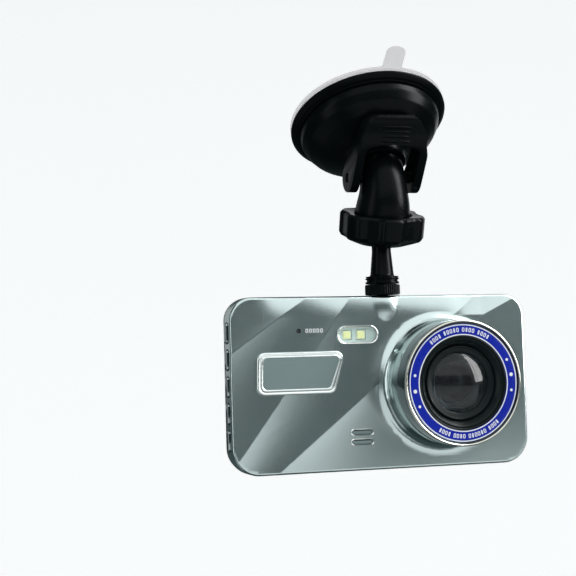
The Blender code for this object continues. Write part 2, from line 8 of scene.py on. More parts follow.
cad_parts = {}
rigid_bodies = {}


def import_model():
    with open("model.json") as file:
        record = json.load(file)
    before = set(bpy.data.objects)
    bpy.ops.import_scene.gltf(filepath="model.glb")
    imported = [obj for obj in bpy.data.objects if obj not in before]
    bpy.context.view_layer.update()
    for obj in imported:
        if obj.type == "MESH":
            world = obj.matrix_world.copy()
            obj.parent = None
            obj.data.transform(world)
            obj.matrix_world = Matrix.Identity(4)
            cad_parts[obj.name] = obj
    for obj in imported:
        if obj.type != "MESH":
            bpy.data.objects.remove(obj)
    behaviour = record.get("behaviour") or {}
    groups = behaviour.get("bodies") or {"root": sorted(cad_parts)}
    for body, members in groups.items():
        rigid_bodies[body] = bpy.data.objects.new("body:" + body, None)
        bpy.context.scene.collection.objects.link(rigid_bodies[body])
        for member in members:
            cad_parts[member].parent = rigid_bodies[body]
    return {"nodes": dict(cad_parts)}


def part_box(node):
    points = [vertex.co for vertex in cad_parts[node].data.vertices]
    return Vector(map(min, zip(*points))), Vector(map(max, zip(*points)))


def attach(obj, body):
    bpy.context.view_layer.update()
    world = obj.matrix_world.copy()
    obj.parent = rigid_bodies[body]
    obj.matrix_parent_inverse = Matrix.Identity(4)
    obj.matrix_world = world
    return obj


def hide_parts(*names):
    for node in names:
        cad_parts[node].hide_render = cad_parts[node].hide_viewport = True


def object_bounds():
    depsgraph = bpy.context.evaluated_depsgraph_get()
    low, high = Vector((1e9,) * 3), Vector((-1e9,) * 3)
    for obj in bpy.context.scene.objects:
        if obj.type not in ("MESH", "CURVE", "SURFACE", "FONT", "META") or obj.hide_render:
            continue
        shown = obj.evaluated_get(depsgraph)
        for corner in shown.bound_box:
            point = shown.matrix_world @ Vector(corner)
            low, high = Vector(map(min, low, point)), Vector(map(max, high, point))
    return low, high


for leftover in list(bpy.data.objects):
    bpy.data.objects.remove(leftover, do_unlink=True)
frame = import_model()
CAD_LO, CAD_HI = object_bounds()

# --------------------------------------------------------------- placement
# Lengths below are millimetres in the camera's own axes: centre of the front face at 0, 0, 0.
MM = 0.001
shell_lo, shell_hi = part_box("front_shell")
BASE = Vector(((shell_lo.x + shell_hi.x) / 2, shell_lo.y + 9.5 * MM, (shell_lo.z + shell_hi.z) / 2)) / MM

BODY_W, BODY_H, SHELL_D, BODY_D = 113.0, 62.0, 8.0, 10.5
R_TOP, R_BOTTOM, WALL = 8.0, 9.7, 1.6
LENS_X, LENS_Z = 22.9, -0.7
PILL_X, PILL_Z, PILL_W, PILL_H = -9.62, 17.15, 15.55, 6.6
LED_X = (-13.2, -7.9)
SLOT_X, SLOT_W, SLOT_H, SLOT_Z = -8.7, 8.6, 2.2, (-17.4, -20.85)
RESET_X, RESET_Z = -31.6, 18.9
PLATE = ((-47.2, 11.65), (-14.4, 11.7), (-18.6, -3.35), (-47.6, -3.35))
KEY_Z = (18.7, 9.35, 0.0, -9.35, -18.7)
KEY_L, KEY_W, KEY_Y, KEY_OUT = 7.1, 2.8, 4.8, 0.8
KEY_NAMES = ("button_power", "button_menu", "button_up", "button_ok", "button_down")
USB_X, JACK_X, CARD_Z, PORT_Y = -32.6, -44.0, 11.0, 3.7
MOUNT_X, MOUNT_Y, BALL_Z, BALL_R = 1.9, 3.9, 53.0, 5.4
X, Y, Z = Vector((1, 0, 0)), Vector((0, 1, 0)), Vector((0, 0, 1))
LEAN, TILT = math.radians(15.8), math.radians(28.6)
ARM_AXIS = Vector((0, -math.sin(LEAN), math.cos(LEAN)))
CUP_N = Vector((0, math.sin(TILT), math.cos(TILT)))
BALL = Vector((MOUNT_X, MOUNT_Y, BALL_Z))
ELBOW = BALL + ARM_AXIS * 17.25
RIM = ELBOW + CUP_N * 30.2
PIVOT = RIM - CUP_N * 26.0
CUP_E = X.cross(CUP_N)
LEVER_DIR = (CUP_E * 0.9065 + CUP_N * 0.4238).normalized()
LEVER_DOWN = X.cross(LEVER_DIR)


def axes(origin, axis, side=X):
    z = axis.normalized()
    x = (side - z * side.dot(z)).normalized()
    y = z.cross(x)
    return Matrix(((x.x, y.x, z.x, origin[0]), (x.y, y.y, z.y, origin[1]),
                   (x.z, y.z, z.z, origin[2]), (0, 0, 0, 1)))


LENS = axes(Vector((LENS_X, 0, LENS_Z)), -Y)
ARM = axes(BALL, ARM_AXIS)
CUP = axes(RIM, -CUP_N)
STUD = axes(Vector((MOUNT_X, MOUNT_Y, 0)), Z)
ONE = Matrix.Identity(4)

# ------------------------------------------------------------ mesh helpers


def done(bm, matrix=ONE):
    bmesh.ops.recalc_face_normals(bm, faces=bm.faces[:])
    if bm.calc_volume(signed=True) < 0:
        bmesh.ops.reverse_faces(bm, faces=bm.faces[:])
    bm.transform(matrix)
    return bm


def rounded(points, r=0.3, seg=3):
    """Profile with its corners rounded. A point may carry its own radius as a third number; 0 keeps it sharp."""
    out = []
    n = len(points)
    for i, p in enumerate(points):
        q = Vector(p[:2])
        own = p[2] if len(p) > 2 else r
        if own <= 0 or i in (0, n - 1) and q.x < 1e-6:
            out.append((q.x, q.y))
            continue
        a, b = Vector(points[i - 1][:2]) - q, Vector(points[(i + 1) % n][:2]) - q
        if q.x < 1e-6 or a.length < 1e-6 or b.length < 1e-6:
            out.append((q.x, q.y))
            continue
        ang = a.angle(b)
        if ang > math.radians(172):
            out.append((q.x, q.y))
            continue
        cut = min(own / math.tan(ang / 2), a.length * 0.45, b.length * 0.45)
        rr = cut * math.tan(ang / 2)
        a.normalize(), b.normalize()
        centre = q + (a + b).normalized() * (rr / math.sin(ang / 2))
        s, e = q + a * cut - centre, q + b * cut - centre
        sweep = s.angle_signed(e)
        for k in range(seg + 1):
            w = -sweep * k / seg
            out.append((centre.x + s.x * math.cos(w) - s.y * math.sin(w), centre.y + s.x * math.sin(w) + s.y * math.cos(w)))
    return out


def lathe(profile, seg, matrix=ONE, radius=None):
    bm = bmesh.new()
    rings = []
    for i, (r, h) in enumerate(profile):
        if r < 1e-6:
            rings.append([bm.verts.new((0, 0, h))])
            continue
        ring = []
        for k in range(seg):
            a = 2 * math.pi * k / seg
            q = r if radius is None else radius(r, h, a)
            ring.append(bm.verts.new((q * math.cos(a), q * math.sin(a), h)))
        rings.append(ring)
    pairs = list(zip(rings, rings[1:]))
    if len(rings[0]) > 1 or len(rings[-1]) > 1:
        pairs.append((rings[-1], rings[0]))
    for a, b in pairs:
        if len(a) == 1 and len(b) == 1:
            continue
        for k in range(seg):
            j = (k + 1) % seg
            if len(a) == 1:
                bm.faces.new((a[0], b[k], b[j]))
            elif len(b) == 1:
                bm.faces.new((a[k], b[0], a[j]))
            else:
                bm.faces.new((a[k], b[k], b[j], a[j]))
    return done(bm, matrix)


def loft(sections, matrix=ONE):
    bm = bmesh.new()
    rings = [[bm.verts.new(p) for p in s] for s in sections]
    n = len(rings[0])
    for a, b in zip(rings, rings[1:]):
        for k in range(n):
            bm.faces.new((a[k], a[(k + 1) % n], b[(k + 1) % n], b[k]))
    bm.faces.new(rings[0])
    bm.faces.new(rings[-1])
    return done(bm, matrix)


def block(x, y, z, matrix=ONE):
    bm = bmesh.new()
    bmesh.ops.create_cube(bm, size=1.0)
    bm.transform(Matrix.Translation(((x[0] + x[1]) / 2, (y[0] + y[1]) / 2, (z[0] + z[1]) / 2))
                 @ Matrix.Diagonal((x[1] - x[0], y[1] - y[0], z[1] - z[0], 1)))
    return done(bm, matrix)


def joined(*parts):
    bm = bmesh.new()
    for part in parts:
        me = bpy.data.meshes.new("tmp")
        part.to_mesh(me)
        bm.from_mesh(me)
        bpy.data.meshes.remove(me)
        part.free()
    return bm


def arc_outline(corners, seg):
    out = []
    n = len(corners)
    for i, (x, z, r) in enumerate(corners):
        p = Vector((x, z))
        a = (Vector(corners[i - 1][:2]) - p).normalized()
        b = (Vector(corners[(i + 1) % n][:2]) - p).normalized()
        half = a.angle(b) / 2
        centre = p + (a + b).normalized() * (r / math.sin(half))
        s = (p + a * (r / math.tan(half))) - centre
        e = (p + b * (r / math.tan(half))) - centre
        sweep = s.angle_signed(e)
        for k in range(seg + 1):
            w = -sweep * k / seg
            out.append((centre.x + s.x * math.cos(w) - s.y * math.sin(w), centre.y + s.x * math.sin(w) + s.y * math.cos(w)))
    return out


def body_outline(inset, y, seg=14):
    w, h = BODY_W / 2 - inset, BODY_H / 2 - inset
    rt, rb = max(R_TOP - inset, 0.8), max(R_BOTTOM - inset, 0.8)
    return [(x, y, z) for x, z in arc_outline(((-w, -h, rb), (w, -h, rb), (w, h, rt), (-w, h, rt)), seg)]


def pill(cx, cz, w, h, y, seg=12, r=None):
    r = min(w, h) / 2 * 0.999 if r is None else r
    return [(x, y, z) for x, z in arc_outline(((cx - w / 2, cz - h / 2, r), (cx + w / 2, cz - h / 2, r),
                                               (cx + w / 2, cz + h / 2, r), (cx - w / 2, cz + h / 2, r)), seg)]


def mesh_object(name, bm, scale=True):
    if scale:
        bm.transform(Matrix.Scale(MM, 4) @ Matrix.Translation(BASE))
    me = bpy.data.meshes.new(name)
    bm.to_mesh(me)
    bm.free()
    ob = bpy.data.objects.new(name, me)
    bpy.context.scene.collection.objects.link(ob)
    return ob


def settle(ob, sharp=32):
    """Applies the modifiers, so that the piece is one plain mesh."""
    bpy.context.view_layer.update()
    graph = bpy.context.evaluated_depsgraph_get()
    me = bpy.data.meshes.new_from_object(ob.evaluated_get(graph))
    old = ob.data
    ob.modifiers.clear()
    ob.data = me
    bpy.data.meshes.remove(old)
    me.name = ob.name
    me.shade_smooth()
    me.set_sharp_from_angle(angle=math.radians(sharp))
    return ob


def booleans(ob, *steps):
    """Each step is (operation, bmesh in camera millimetres)."""
    helpers = []
    for op, bm in steps:
        h = mesh_object("cut_" + ob.name, bm)
        m = ob.modifiers.new("b", "BOOLEAN")
        m.operation, m.object, m.solver = op, h, "EXACT"
        helpers.append(h)
    settle(ob)
    for h in helpers:
        me = h.data
        bpy.data.objects.remove(h)
        bpy.data.meshes.remove(me)
    return ob


def bevelled(ob, width, seg=3, angle=30):
    m = ob.modifiers.new("bevel", "BEVEL")
    m.width, m.segments, m.limit_method, m.angle_limit = width * MM, seg, "ANGLE", math.radians(angle)
    m.use_clamp_overlap = True
    m.harden_normals = False
    return settle(ob)


def piece(ob, mat, body, nodes=(), sharp=None):
    if sharp is not None:
        ob.data.shade_smooth()
        ob.data.set_sharp_from_angle(angle=math.radians(sharp))
    ob.data.materials.clear()
    ob.data.materials.append(mat)
    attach(ob, body)
    if nodes:
        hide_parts(*nodes)
    return ob


def turned(name, profile, mat, body, nodes=(), matrix=LENS, seg=144, r=0.3, rseg=3, radius=None, sharp=40):
    ob = mesh_object(name, lathe(rounded(profile, r, rseg), seg, matrix, radius))
    return piece(ob, mat, body, nodes, sharp)


# ----------------------------------------------------------------- materials


class Nodes:
    def __init__(self, name):
        self.m = bpy.data.materials.new(name)
        self.m.use_nodes = True
        self.t = self.m.node_tree
        self.p = self.t.nodes["Principled BSDF"]
        tc = self.t.nodes.new("ShaderNodeTexCoord")
        self.obj = tc.outputs["Object"]

    def set(self, **kw):
        names = {"base": "Base Color", "metal": "Metallic", "rough": "Roughness", "coat": "Coat Weight",
                 "coat_rough": "Coat Roughness", "spec": "Specular IOR Level", "ior": "IOR",
                 "trans": "Transmission Weight", "alpha": "Alpha", "aniso": "Anisotropic", "sheen": "Sheen Weight",
                 "sss": "Subsurface Weight", "sss_scale": "Subsurface Scale", "film": "Thin Film Thickness",
                 "film_ior": "Thin Film IOR", "emit": "Emission Strength", "emit_col": "Emission Color",
                 "sss_radius": "Subsurface Radius"}
        for k, v in kw.items():
            self.p.inputs[names[k]].default_value = (*v, 1) if k in ("base", "emit_col") else v
        return self

    def noise(self, scale, detail=3, rough=0.55, stretch=None, source=None):
        n = self.t.nodes.new("ShaderNodeTexNoise")
        n.inputs["Scale"].default_value = scale
        n.inputs["Detail"].default_value = detail
        n.inputs["Roughness"].default_value = rough
        src = source or self.obj
        if stretch:
            mp = self.t.nodes.new("ShaderNodeMapping")
            mp.inputs["Scale"].default_value = stretch
            self.t.links.new(src, mp.inputs["Vector"])
            src = mp.outputs["Vector"]
        self.t.links.new(src, n.inputs["Vector"])
        return n.outputs["Fac"]

    def ramp(self, fac, stops):
        r = self.t.nodes.new("ShaderNodeValToRGB")
        e = r.color_ramp.elements
        while len(e) > 1:
            e.remove(e[0])
        e[0].position, e[0].color = stops[0][0], (*stops[0][1], 1)
        for p, c in stops[1:]:
            s = e.new(p)
            s.color = (*c, 1)
        self.t.links.new(fac, r.inputs["Fac"])
        return r.outputs["Color"]

    def map(self, fac, lo, hi, a=0.0, b=1.0):
        r = self.t.nodes.new("ShaderNodeMapRange")
        r.inputs["From Min"].default_value, r.inputs["From Max"].default_value = a, b
        r.inputs["To Min"].default_value, r.inputs["To Max"].default_value = lo, hi
        self.t.links.new(fac, r.inputs["Value"])
        return r.outputs["Result"]

    def mix(self, fac, a, b, kind="MIX"):
        n = self.t.nodes.new("ShaderNodeMix")
        n.data_type, n.blend_type = "RGBA", kind
        for sock, v in ((n.inputs["Factor"], fac), (n.inputs["A"], a), (n.inputs["B"], b)):
            pass
        ins = [i for i in n.inputs if i.type == "RGBA"]
        for sock, v in ((n.inputs[0], fac), (ins[0], a), (ins[1], b)):
            if isinstance(v, bpy.types.NodeSocket):
                self.t.links.new(v, sock)
            elif isinstance(v, (int, float)):
                sock.default_value = v
            else:
                sock.default_value = (*v, 1)
        return [o for o in n.outputs if o.type == "RGBA"][0]

    def link(self, out, name):
        self.t.links.new(out, self.p.inputs[name])
        return self

    def bump(self, fac, strength, dist):
        b = self.t.nodes.new("ShaderNodeBump")
        b.inputs["Strength"].default_value = strength
        b.inputs["Distance"].default_value = dist
        self.t.links.new(fac, b.inputs["Height"])
        prev = self.p.inputs["Normal"].links
        if prev:
            self.t.links.new(prev[0].from_socket, b.inputs["Normal"])
        self.t.links.new(b.outputs["Normal"], self.p.inputs["Normal"])
        return self


def tuned(name, base, rough, metal=0.0, grain=0.08, grain_scale=2500, bump=0.05, dist=0.00002, vary=0.12, **kw):
    """A moulded or plated surface: slight colour drift, fine roughness variation and a fine surface grain."""
    n = Nodes(name).set(rough=rough, metal=metal, **kw)
    drift = n.noise(60, 3)
    lo = tuple(c * (1 - vary) for c in base)
    hi = tuple(min(1, c * (1 + vary)) for c in base)
    n.link(n.ramp(drift, [(0.3, lo), (0.7, hi)]), "Base Color")
    fine = n.noise(grain_scale, 2)
    n.link(n.map(fine, max(0.01, rough * (1 - grain)), rough * (1 + grain), 0.3, 0.7), "Roughness")
    if bump:
        n.bump(fine, bump, dist)
    return n.m


def silver_paint(name, base, rough=0.205):
    n = Nodes(name).set(metal=1.0, coat=0.12, coat_rough=0.10)
    drift = n.noise(45, 4)
    base_col = n.ramp(drift, [(0.25, tuple(c * 0.95 for c in base)), (0.75, tuple(c * 1.05 for c in base))])
    flake = n.noise(5200, 2, 0.7)
    speck = n.mix(0.14, base_col, n.ramp(flake, [(0.35, tuple(c * 0.7 for c in base)), (0.68, tuple(min(1, c * 1.3) for c in base))]))
    n.link(speck, "Base Color")
    n.link(n.map(flake, rough * 0.86, rough * 1.16, 0.3, 0.7), "Roughness")
    n.bump(flake, 0.02, 0.00002)
    n.bump(n.noise(160, 2), 0.06, 0.00006)
    return n.m


M_SILVER = silver_paint("silver_paint", (0.42, 0.495, 0.492), 0.205)
M_PLATE = silver_paint("plate_paint", (0.27, 0.345, 0.345), 0.32)
M_CASE = tuned("black_case", (0.012, 0.013, 0.014), 0.34, grain=0.2, bump=0.12)
M_SCREEN = tuned("screen_gloss", (0.0045, 0.0045, 0.006), 0.05, grain=0.3, grain_scale=300, bump=0.0, coat=1.0, coat_rough=0.02)
M_KEY = tuned("key_gloss", (0.30, 0.33, 0.34), 0.07, metal=1.0, grain=0.25, grain_scale=900, bump=0.01)
M_CHROME = tuned("chrome_trim", (0.80, 0.81, 0.80), 0.09, metal=1.0, grain=0.3, grain_scale=900, bump=0.02)
M_WARM = tuned("warm_chrome", (0.56, 0.555, 0.51), 0.20, metal=1.0, grain=0.3, grain_scale=900, bump=0.02)
M_COLLAR = tuned("smoked_chrome", (0.085, 0.105, 0.11), 0.12, metal=1.0, grain=0.3, grain_scale=900, bump=0.015)
M_BLUE = tuned("blue_print", (0.0015, 0.016, 0.37), 0.30, grain=0.15, grain_scale=1800, bump=0.02, vary=0.05, spec=0.18)
M_WHITE = tuned("white_print", (0.86, 0.88, 0.90), 0.35, grain=0.1, bump=0.0, vary=0.03)
M_MOUNT = tuned("mount_plastic", (0.0020, 0.0034, 0.0040), 0.28, grain=0.10, grain_scale=1600, bump=0.0, spec=0.05)
M_RUBBER = tuned("cup_rubber", (0.0020, 0.0032, 0.0036), 0.34, grain=0.10, grain_scale=900, bump=0.0, spec=0.05)
M_LENSBLK = tuned("lens_black", (0.006, 0.0105, 0.0115), 0.32, grain=0.10, grain_scale=2200, bump=0.02, spec=0.09)
M_BAFFLE = tuned("lens_baffle", (0.010, 0.012, 0.013), 0.5, grain=0.15, bump=0.03)
M_LED = tuned("lamp_phosphor", (0.80, 0.79, 0.40), 0.45, grain=0.1, grain_scale=4000, bump=0.06, vary=0.05, emit=0.12, emit_col=(0.9, 0.87, 0.35))
M_LEDCASE = tuned("lamp_case", (0.82, 0.84, 0.76), 0.4, vary=0.03)
M_REFLECT = tuned("lamp_reflector", (0.55, 0.63, 0.60), 0.42, metal=0.2)
M_PCB = tuned("solder_mask", (0.010, 0.09, 0.045), 0.35, grain=0.2, grain_scale=1500, vary=0.3)
M_CHIP = tuned("chip_black", (0.02, 0.02, 0.022), 0.5)
M_STEEL = tuned("plated_steel", (0.62, 0.62, 0.60), 0.24, metal=1.0, grain=0.3)
M_FOIL = tuned("battery_foil", (0.60, 0.61, 0.62), 0.35, metal=0.8)
M_BRASS = tuned("turned_brass", (0.72, 0.50, 0.20), 0.25, metal=1.0)
M_NYLON = tuned("dark_nylon", (0.045, 0.045, 0.047), 0.45)
M_SENSOR = tuned("sensor_face", (0.05, 0.04, 0.07), 0.12, metal=0.6, vary=0.3, coat=0.5)
M_DISPLAY = tuned("display_face", (0.015, 0.016, 0.02), 0.2)


def glass(name, tint, rough=0.01, ior=1.5, film=0.0):
    n = Nodes(name).set(base=tint, rough=rough, ior=ior, trans=1.0, coat=0.0)
    if film:
        n.set(film=film, film_ior=1.38)
    fine = n.noise(400, 2)
    n.link(n.map(fine, rough * 0.7, rough * 1.3), "Roughness")
    return n.m


M_GLASS = glass("lens_glass", (0.50, 0.57, 0.60), 0.11, 1.27)
M_GLASS2 = tuned("inner_glass", (0.004, 0.0025, 0.005), 0.16, grain=0.05, grain_scale=500, bump=0.0, vary=0.05, spec=0.12)
M_WINDOW = glass("lamp_cover", (0.90, 0.96, 0.95), 0.04, 1.40)


def clear_soft(name, base, rough, alpha, trans):
    n = Nodes(name).set(rough=rough, trans=trans, ior=1.42, alpha=alpha)
    drift = n.noise(150, 3)
    n.link(n.ramp(drift, [(0.3, tuple(c * 0.95 for c in base)), (0.7, base)]), "Base Color")
    n.bump(n.noise(500, 2), 0.05, 0.00003)
    return n.m


M_GEL = clear_soft("clear_gel", (0.95, 0.90, 0.94), 0.22, 0.24, 0.0)
M_FILM = clear_soft("clear_film", (0.93, 0.86, 0.92), 0.15, 0.28, 0.0)

# --------------------------------------------------------------- front shell
L1 = (Vector((-54.0, 13.2)), Vector((-31.0, 28.9)))
L2 = (Vector((-54.0, -25.2)), Vector((-11.7, 31.0)))
L3 = (Vector((-37.6, -28.5)), Vector((1.0, 2.2)))
L5 = (Vector((36.1, 21.6)), Vector((51.8, 29.1)))
SLOPE = 0.080


def side_of(line, x, z):
    """Signed distance: positive to the right of and below the line."""
    a, b = line
    d = (b - a).normalized()
    return (x - a.x) * d.y - (z - a.y) * d.x


def scoop(d1, d2, k):
    return k * d1 * d2 / max(d1 + d2, 1e-6)


def crown(x, z):
    """The face rolls back towards its top edge, and more steeply in the facet over the turret's right shoulder."""
    t = min(1.0, max(0.0, (z - 23.4) / 7.6))
    near = smooth(24, 34, x)
    p, q = L5
    foot = max(23.4, p.y + (x - p.x) * (q.y - p.y) / (q.x - p.x))
    return (1 - near) * 0.60 * t * t * smooth(-49, -38, x) + near * 0.155 * max(0.0, z - foot)


NOSE_A, NOSE_B, NOSE_H = 5.0, 7.6, 0.75


def nose_bump(x, z):
    """Soft swelling at the top edge, over the threaded insert: negative stands proud of the face."""
    u, v = (x - MOUNT_X + 0.2) / NOSE_A, (z - 29.0) / NOSE_B
    q = math.hypot(u, v)
    return 0.0 if q >= 1 else -NOSE_H * (1 - q * q) ** 1.5


def smooth(a, b, v):
    t = min(1.0, max(0.0, (v - a) / (b - a)))
    return t * t * (3 - 2 * t)


def facet_depth(x, z):
    d1, d2, d3 = (side_of(line, x, z) for line in (L1, L2, L3))
    if d1 < 0:
        depth = 0.36 * (1 - math.exp(d1 / 5.0))
    elif d2 < 0:
        depth = scoop(d1, -d2, SLOPE)
    elif d3 < 0:
        depth = scoop(d2, -d3, SLOPE)
    else:
        depth = 0.55 * (1 - math.exp(-d3 / 7.0)) * (1 - 0.75 * smooth(10, 46, d3))
    return min(depth, 0.75) + crown(x, z)


def calm(x, z):
    """Lets the facets die out round the lens boss."""
    r = math.hypot(x - LENS_X, z - LENS_Z)
    k = min(1.0, max(0.0, (r - 24.2) / 1.2))
    return k


def build_shell():
    sections = []
    R = 0.9
    for k in range(7):
        t = math.pi / 2 * k / 6
        sections.append(body_outline(R * (1 - math.sin(t)), R * (1 - math.cos(t))))
    sections.append(body_outline(0.0, 3.0))
    sections.append(body_outline(0.0, SHELL_D - 0.25))
    sections.append(body_outline(0.12, SHELL_D))
    shell = mesh_object("v_front_shell", loft(sections))
    fr = 3.2
    prof = [(25.2, -1.0)] + [(22.0 + fr - fr * math.sin(t), fr - fr * math.cos(t) - 0.03) for t in
                             [math.radians(a) for a in range(6, 91, 7)]]
    prof += [(22.0, 9.2), (21.93, 9.38), (21.75, 9.5), (18.0, 9.5), (18.0, -1.0)]
    boss = lathe(prof, 160, LENS)
    cavity = loft([body_outline(WALL, WALL), body_outline(WALL, SHELL_D + 5)])
    bore = lathe([(0, -3.0), (20.0, -3.0), (20.0, 12.0), (0, 12.0)], 96, LENS)
    cuts = [loft([pill(PILL_X, PILL_Z, PILL_W - 0.7, PILL_H - 0.7, y) for y in (-1.0, 2.5)])]
    cuts += [loft([pill(SLOT_X, z, SLOT_W - 0.7, SLOT_H - 0.7, y, 8, r=0.7) for y in (-1.0, 2.5)]) for z in SLOT_Z]
    cuts.append(lathe([(0, -1.0), (0.8, -1.0), (0.8, 2.5), (0, 2.5)], 32, axes(Vector((RESET_X, 0, RESET_Z)), Y)))
    for z in KEY_Z:
        cuts.append(loft([[(x, yy, zz) for yy, zz in arc_outline(
            ((KEY_Y - KEY_W / 2 - 0.3, z - KEY_L / 2 - 0.3, 1.0), (KEY_Y + KEY_W / 2 + 0.3, z - KEY_L / 2 - 0.3, 1.0),
             (KEY_Y + KEY_W / 2 + 0.3, z + KEY_L / 2 + 0.3, 1.0), (KEY_Y - KEY_W / 2 - 0.3, z + KEY_L / 2 + 0.3, 1.0)), 5)]
            for x in (-60, -53.5)]))
    cuts.append(loft([[(USB_X + u, PORT_Y + v, z) for u, v in ((-4.1, -1.75), (4.1, -1.75), (4.1, 0.6), (3.3, 1.75), (-3.3, 1.75), (-4.1, 0.6))]
                      for z in (28.5, 33)]))
    cuts.append(lathe([(0, 28.5), (1.9, 28.5), (1.9, 33.0), (0, 33.0)], 40, Matrix.Translation((JACK_X, PORT_Y, 0))))
    cuts.append(block((53, 60), (PORT_Y - 0.9, PORT_Y + 0.9), (CARD_Z - 6, CARD_Z + 6)))
    cuts.append(lathe([(0, 22.2), (3.08, 22.2), (3.08, 34.0), (0, 34.0)], 40, STUD))
    posts = lathe([(0, 21.6), (3.75, 21.6), (3.75, 30.0), (0, 30.0)], 40, STUD)
    booleans(shell, ("UNION", boss), ("DIFFERENCE", cavity), ("DIFFERENCE", bore), ("UNION", posts),
             ("DIFFERENCE", joined(*cuts)))

    # fine grid of cuts, with lines along the creases, then the facets are pressed in
    bm = bmesh.new()
    bm.from_mesh(shell.data)
    bm.transform(Matrix.Translation(-BASE) @ Matrix.Scale(1 / MM, 4))

    def slice_at(co, no):
        bmesh.ops.bisect_plane(bm, geom=bm.verts[:] + bm.edges[:] + bm.faces[:], plane_co=co, plane_no=no, dist=1e-5)

    for line in (L1, L2, L3, L5):
        a, b = line
        d = (b - a).normalized()
        n = Vector((d.y, 0, -d.x))
        for off in (0.0, -0.35, 0.35):
            slice_at(Vector((a.x, 0, a.y)) + n * off, n)
    k = -55.0
    while k < 56:
        slice_at(Vector((k, 0, 0)), X)
        k += 1.25
    k = -30.0
    while k < 31:
        slice_at(Vector((0, 0, k)), Z)
        k += 1.25
    k = MOUNT_X - 5.2
    while k < MOUNT_X + 5.2:
        slice_at(Vector((k, 0, 0)), X)
        k += 0.4
    k = 21.7
    while k < 31:
        slice_at(Vector((0, 0, k)), Z)
        k += 0.4
    for v in bm.verts:
        x, y, z = v.co
        if y < 2.95 and y > -0.6:
            fall = 1.0 if y < 0.45 else max(0.0, 1 - (y - 0.45) / 2.5)
            r = math.hypot(x - LENS_X, z - LENS_Z)
            if r < 20.5:
                continue
            v.co.y = y + (facet_depth(x, z) * calm(x, z) + nose_bump(x, z)) * fall
    bm.transform(Matrix.Scale(MM, 4) @ Matrix.Translation(BASE))
    bm.to_mesh(shell.data)
    bm.free()
    return piece(shell, M_SILVER, "camera", ("front_shell",), 24)


build_shell()


def face_y(x, z):
    """Depth of the pressed face under a point, in camera millimetres."""
    return facet_depth(x, z) * calm(x, z)


# bright lips round the two speaker slots, and dark mesh behind them
lips = []
for z in SLOT_Z:
    y0 = face_y(SLOT_X, z)
    outer = [pill(SLOT_X, z, SLOT_W + a, SLOT_H + a, y0 + b, 10, r=1.0) for a, b in ((0.1, 0.25), (0.1, -0.12), (-0.1, -0.22), (-0.45, -0.22))]
    inner = [pill(SLOT_X, z, SLOT_W + a, SLOT_H + a, y0 + b, 10, r=0.7) for a, b in ((-0.62, -0.12), (-0.66, 1.2), (-0.3, 1.2))]
    bm = bmesh.new()
    rings = [[bm.verts.new(p) for p in s] for s in outer + inner]
    n = len(rings[0])
    for a, b in zip(rings, rings[1:] + rings[:1]):
        for k in range(n):
            bm.faces.new((a[k], a[(k + 1) % n], b[(k + 1) % n], b[k]))
    lips.append(done(bm))
piece(mesh_object("v_speaker_lips", joined(*lips)), M_CHROME, "camera", (), 40)
fills = [loft([pill(SLOT_X + 0.1, z - 0.12, SLOT_W - 1.15, SLOT_H - 1.1, y, 8, r=0.5) for y in (0.95, 1.05, 1.55)]) for z in SLOT_Z]
back_bar = loft([pill(SLOT_X, sum(SLOT_Z) / 2, SLOT_W + 1.6, 7.4, y, 8, r=1.0) for y in (1.7, 1.95)])
piece(mesh_object("v_speaker_bars", joined(*fills)), M_PLATE, "camera", (), 30)
piece(mesh_object("v_speaker_cloth", back_bar), M_BAFFLE, "camera", (), 40)

# generic marks beside the reset hole: a row of small open frames in place of lettering
def frame_mark(w, h, stroke, place, seg=4):
    """Open rounded frame lying in a plane: place(u, v, d) gives a point, d runs into the surface."""
    bm = bmesh.new()
    rings = []
    for inset, d in ((0, -0.04), (stroke, -0.04), (stroke, 0.06), (0, 0.06)):
        r = max(0.36 * w - inset, 0.05)
        pts = arc_outline(((-w / 2 + inset, -h / 2 + inset, r), (w / 2 - inset, -h / 2 + inset, r),
                           (w / 2 - inset, h / 2 - inset, r), (-w / 2 + inset, h / 2 - inset, r)), seg)
        rings.append([bm.verts.new(place(u, v, d)) for u, v in pts])
    n = len(rings[0])
    for p, q in zip(rings, rings[1:] + rings[:1]):
        for k in range(n):
            bm.faces.new((p[k], p[(k + 1) % n], q[(k + 1) % n], q[k]))
    return done(bm)


marks = []
for k in range(5):
    cx = RESET_X + 3.0 + 1.36 * k
    marks.append(frame_mark(0.98, 1.45, 0.27, lambda u, v, d, cx=cx: (cx + u, face_y(cx + u, RESET_Z + v) + d, RESET_Z + v + 0.05)))
piece(mesh_object("v_reset_mark", joined(*marks)), M_WHITE, "camera", (), 40)

# ------------------------------------------------------------ rear and screen
rear = []
for inset, y in ((0.45, 8.25), (0.25, 8.5), (0.25, 9.6), (0.31, 9.95), (0.5, 10.25), (0.8, 10.44), (1.15, 10.5)):
    rear.append(body_outline(inset, y))
ob = mesh_object("v_rear_frame", loft(rear))
booleans(ob, ("DIFFERENCE", loft([body_outline(4.0, 7.0), body_outline(4.0, 12.0)])),
         ("DIFFERENCE", loft([body_outline(2.2, 9.35), body_outline(2.2, 12.0)])))
piece(ob, M_CASE, "camera", ("rear_frame",), 40)
ob = mesh_object("v_screen_glass", loft([body_outline(2.45, 9.6), body_outline(2.4, 9.75), body_outline(2.4, 10.3),
                                         body_outline(2.46, 10.4), body_outline(2.62, 10.45)]))
piece(ob, M_SCREEN, "camera", ("screen_glass",), 30)

# ---------------------------------------------------------------- plate, lamp
pcx = sum(p[0] for p in PLATE) / 4
pcz = sum(p[1] for p in PLATE) / 4


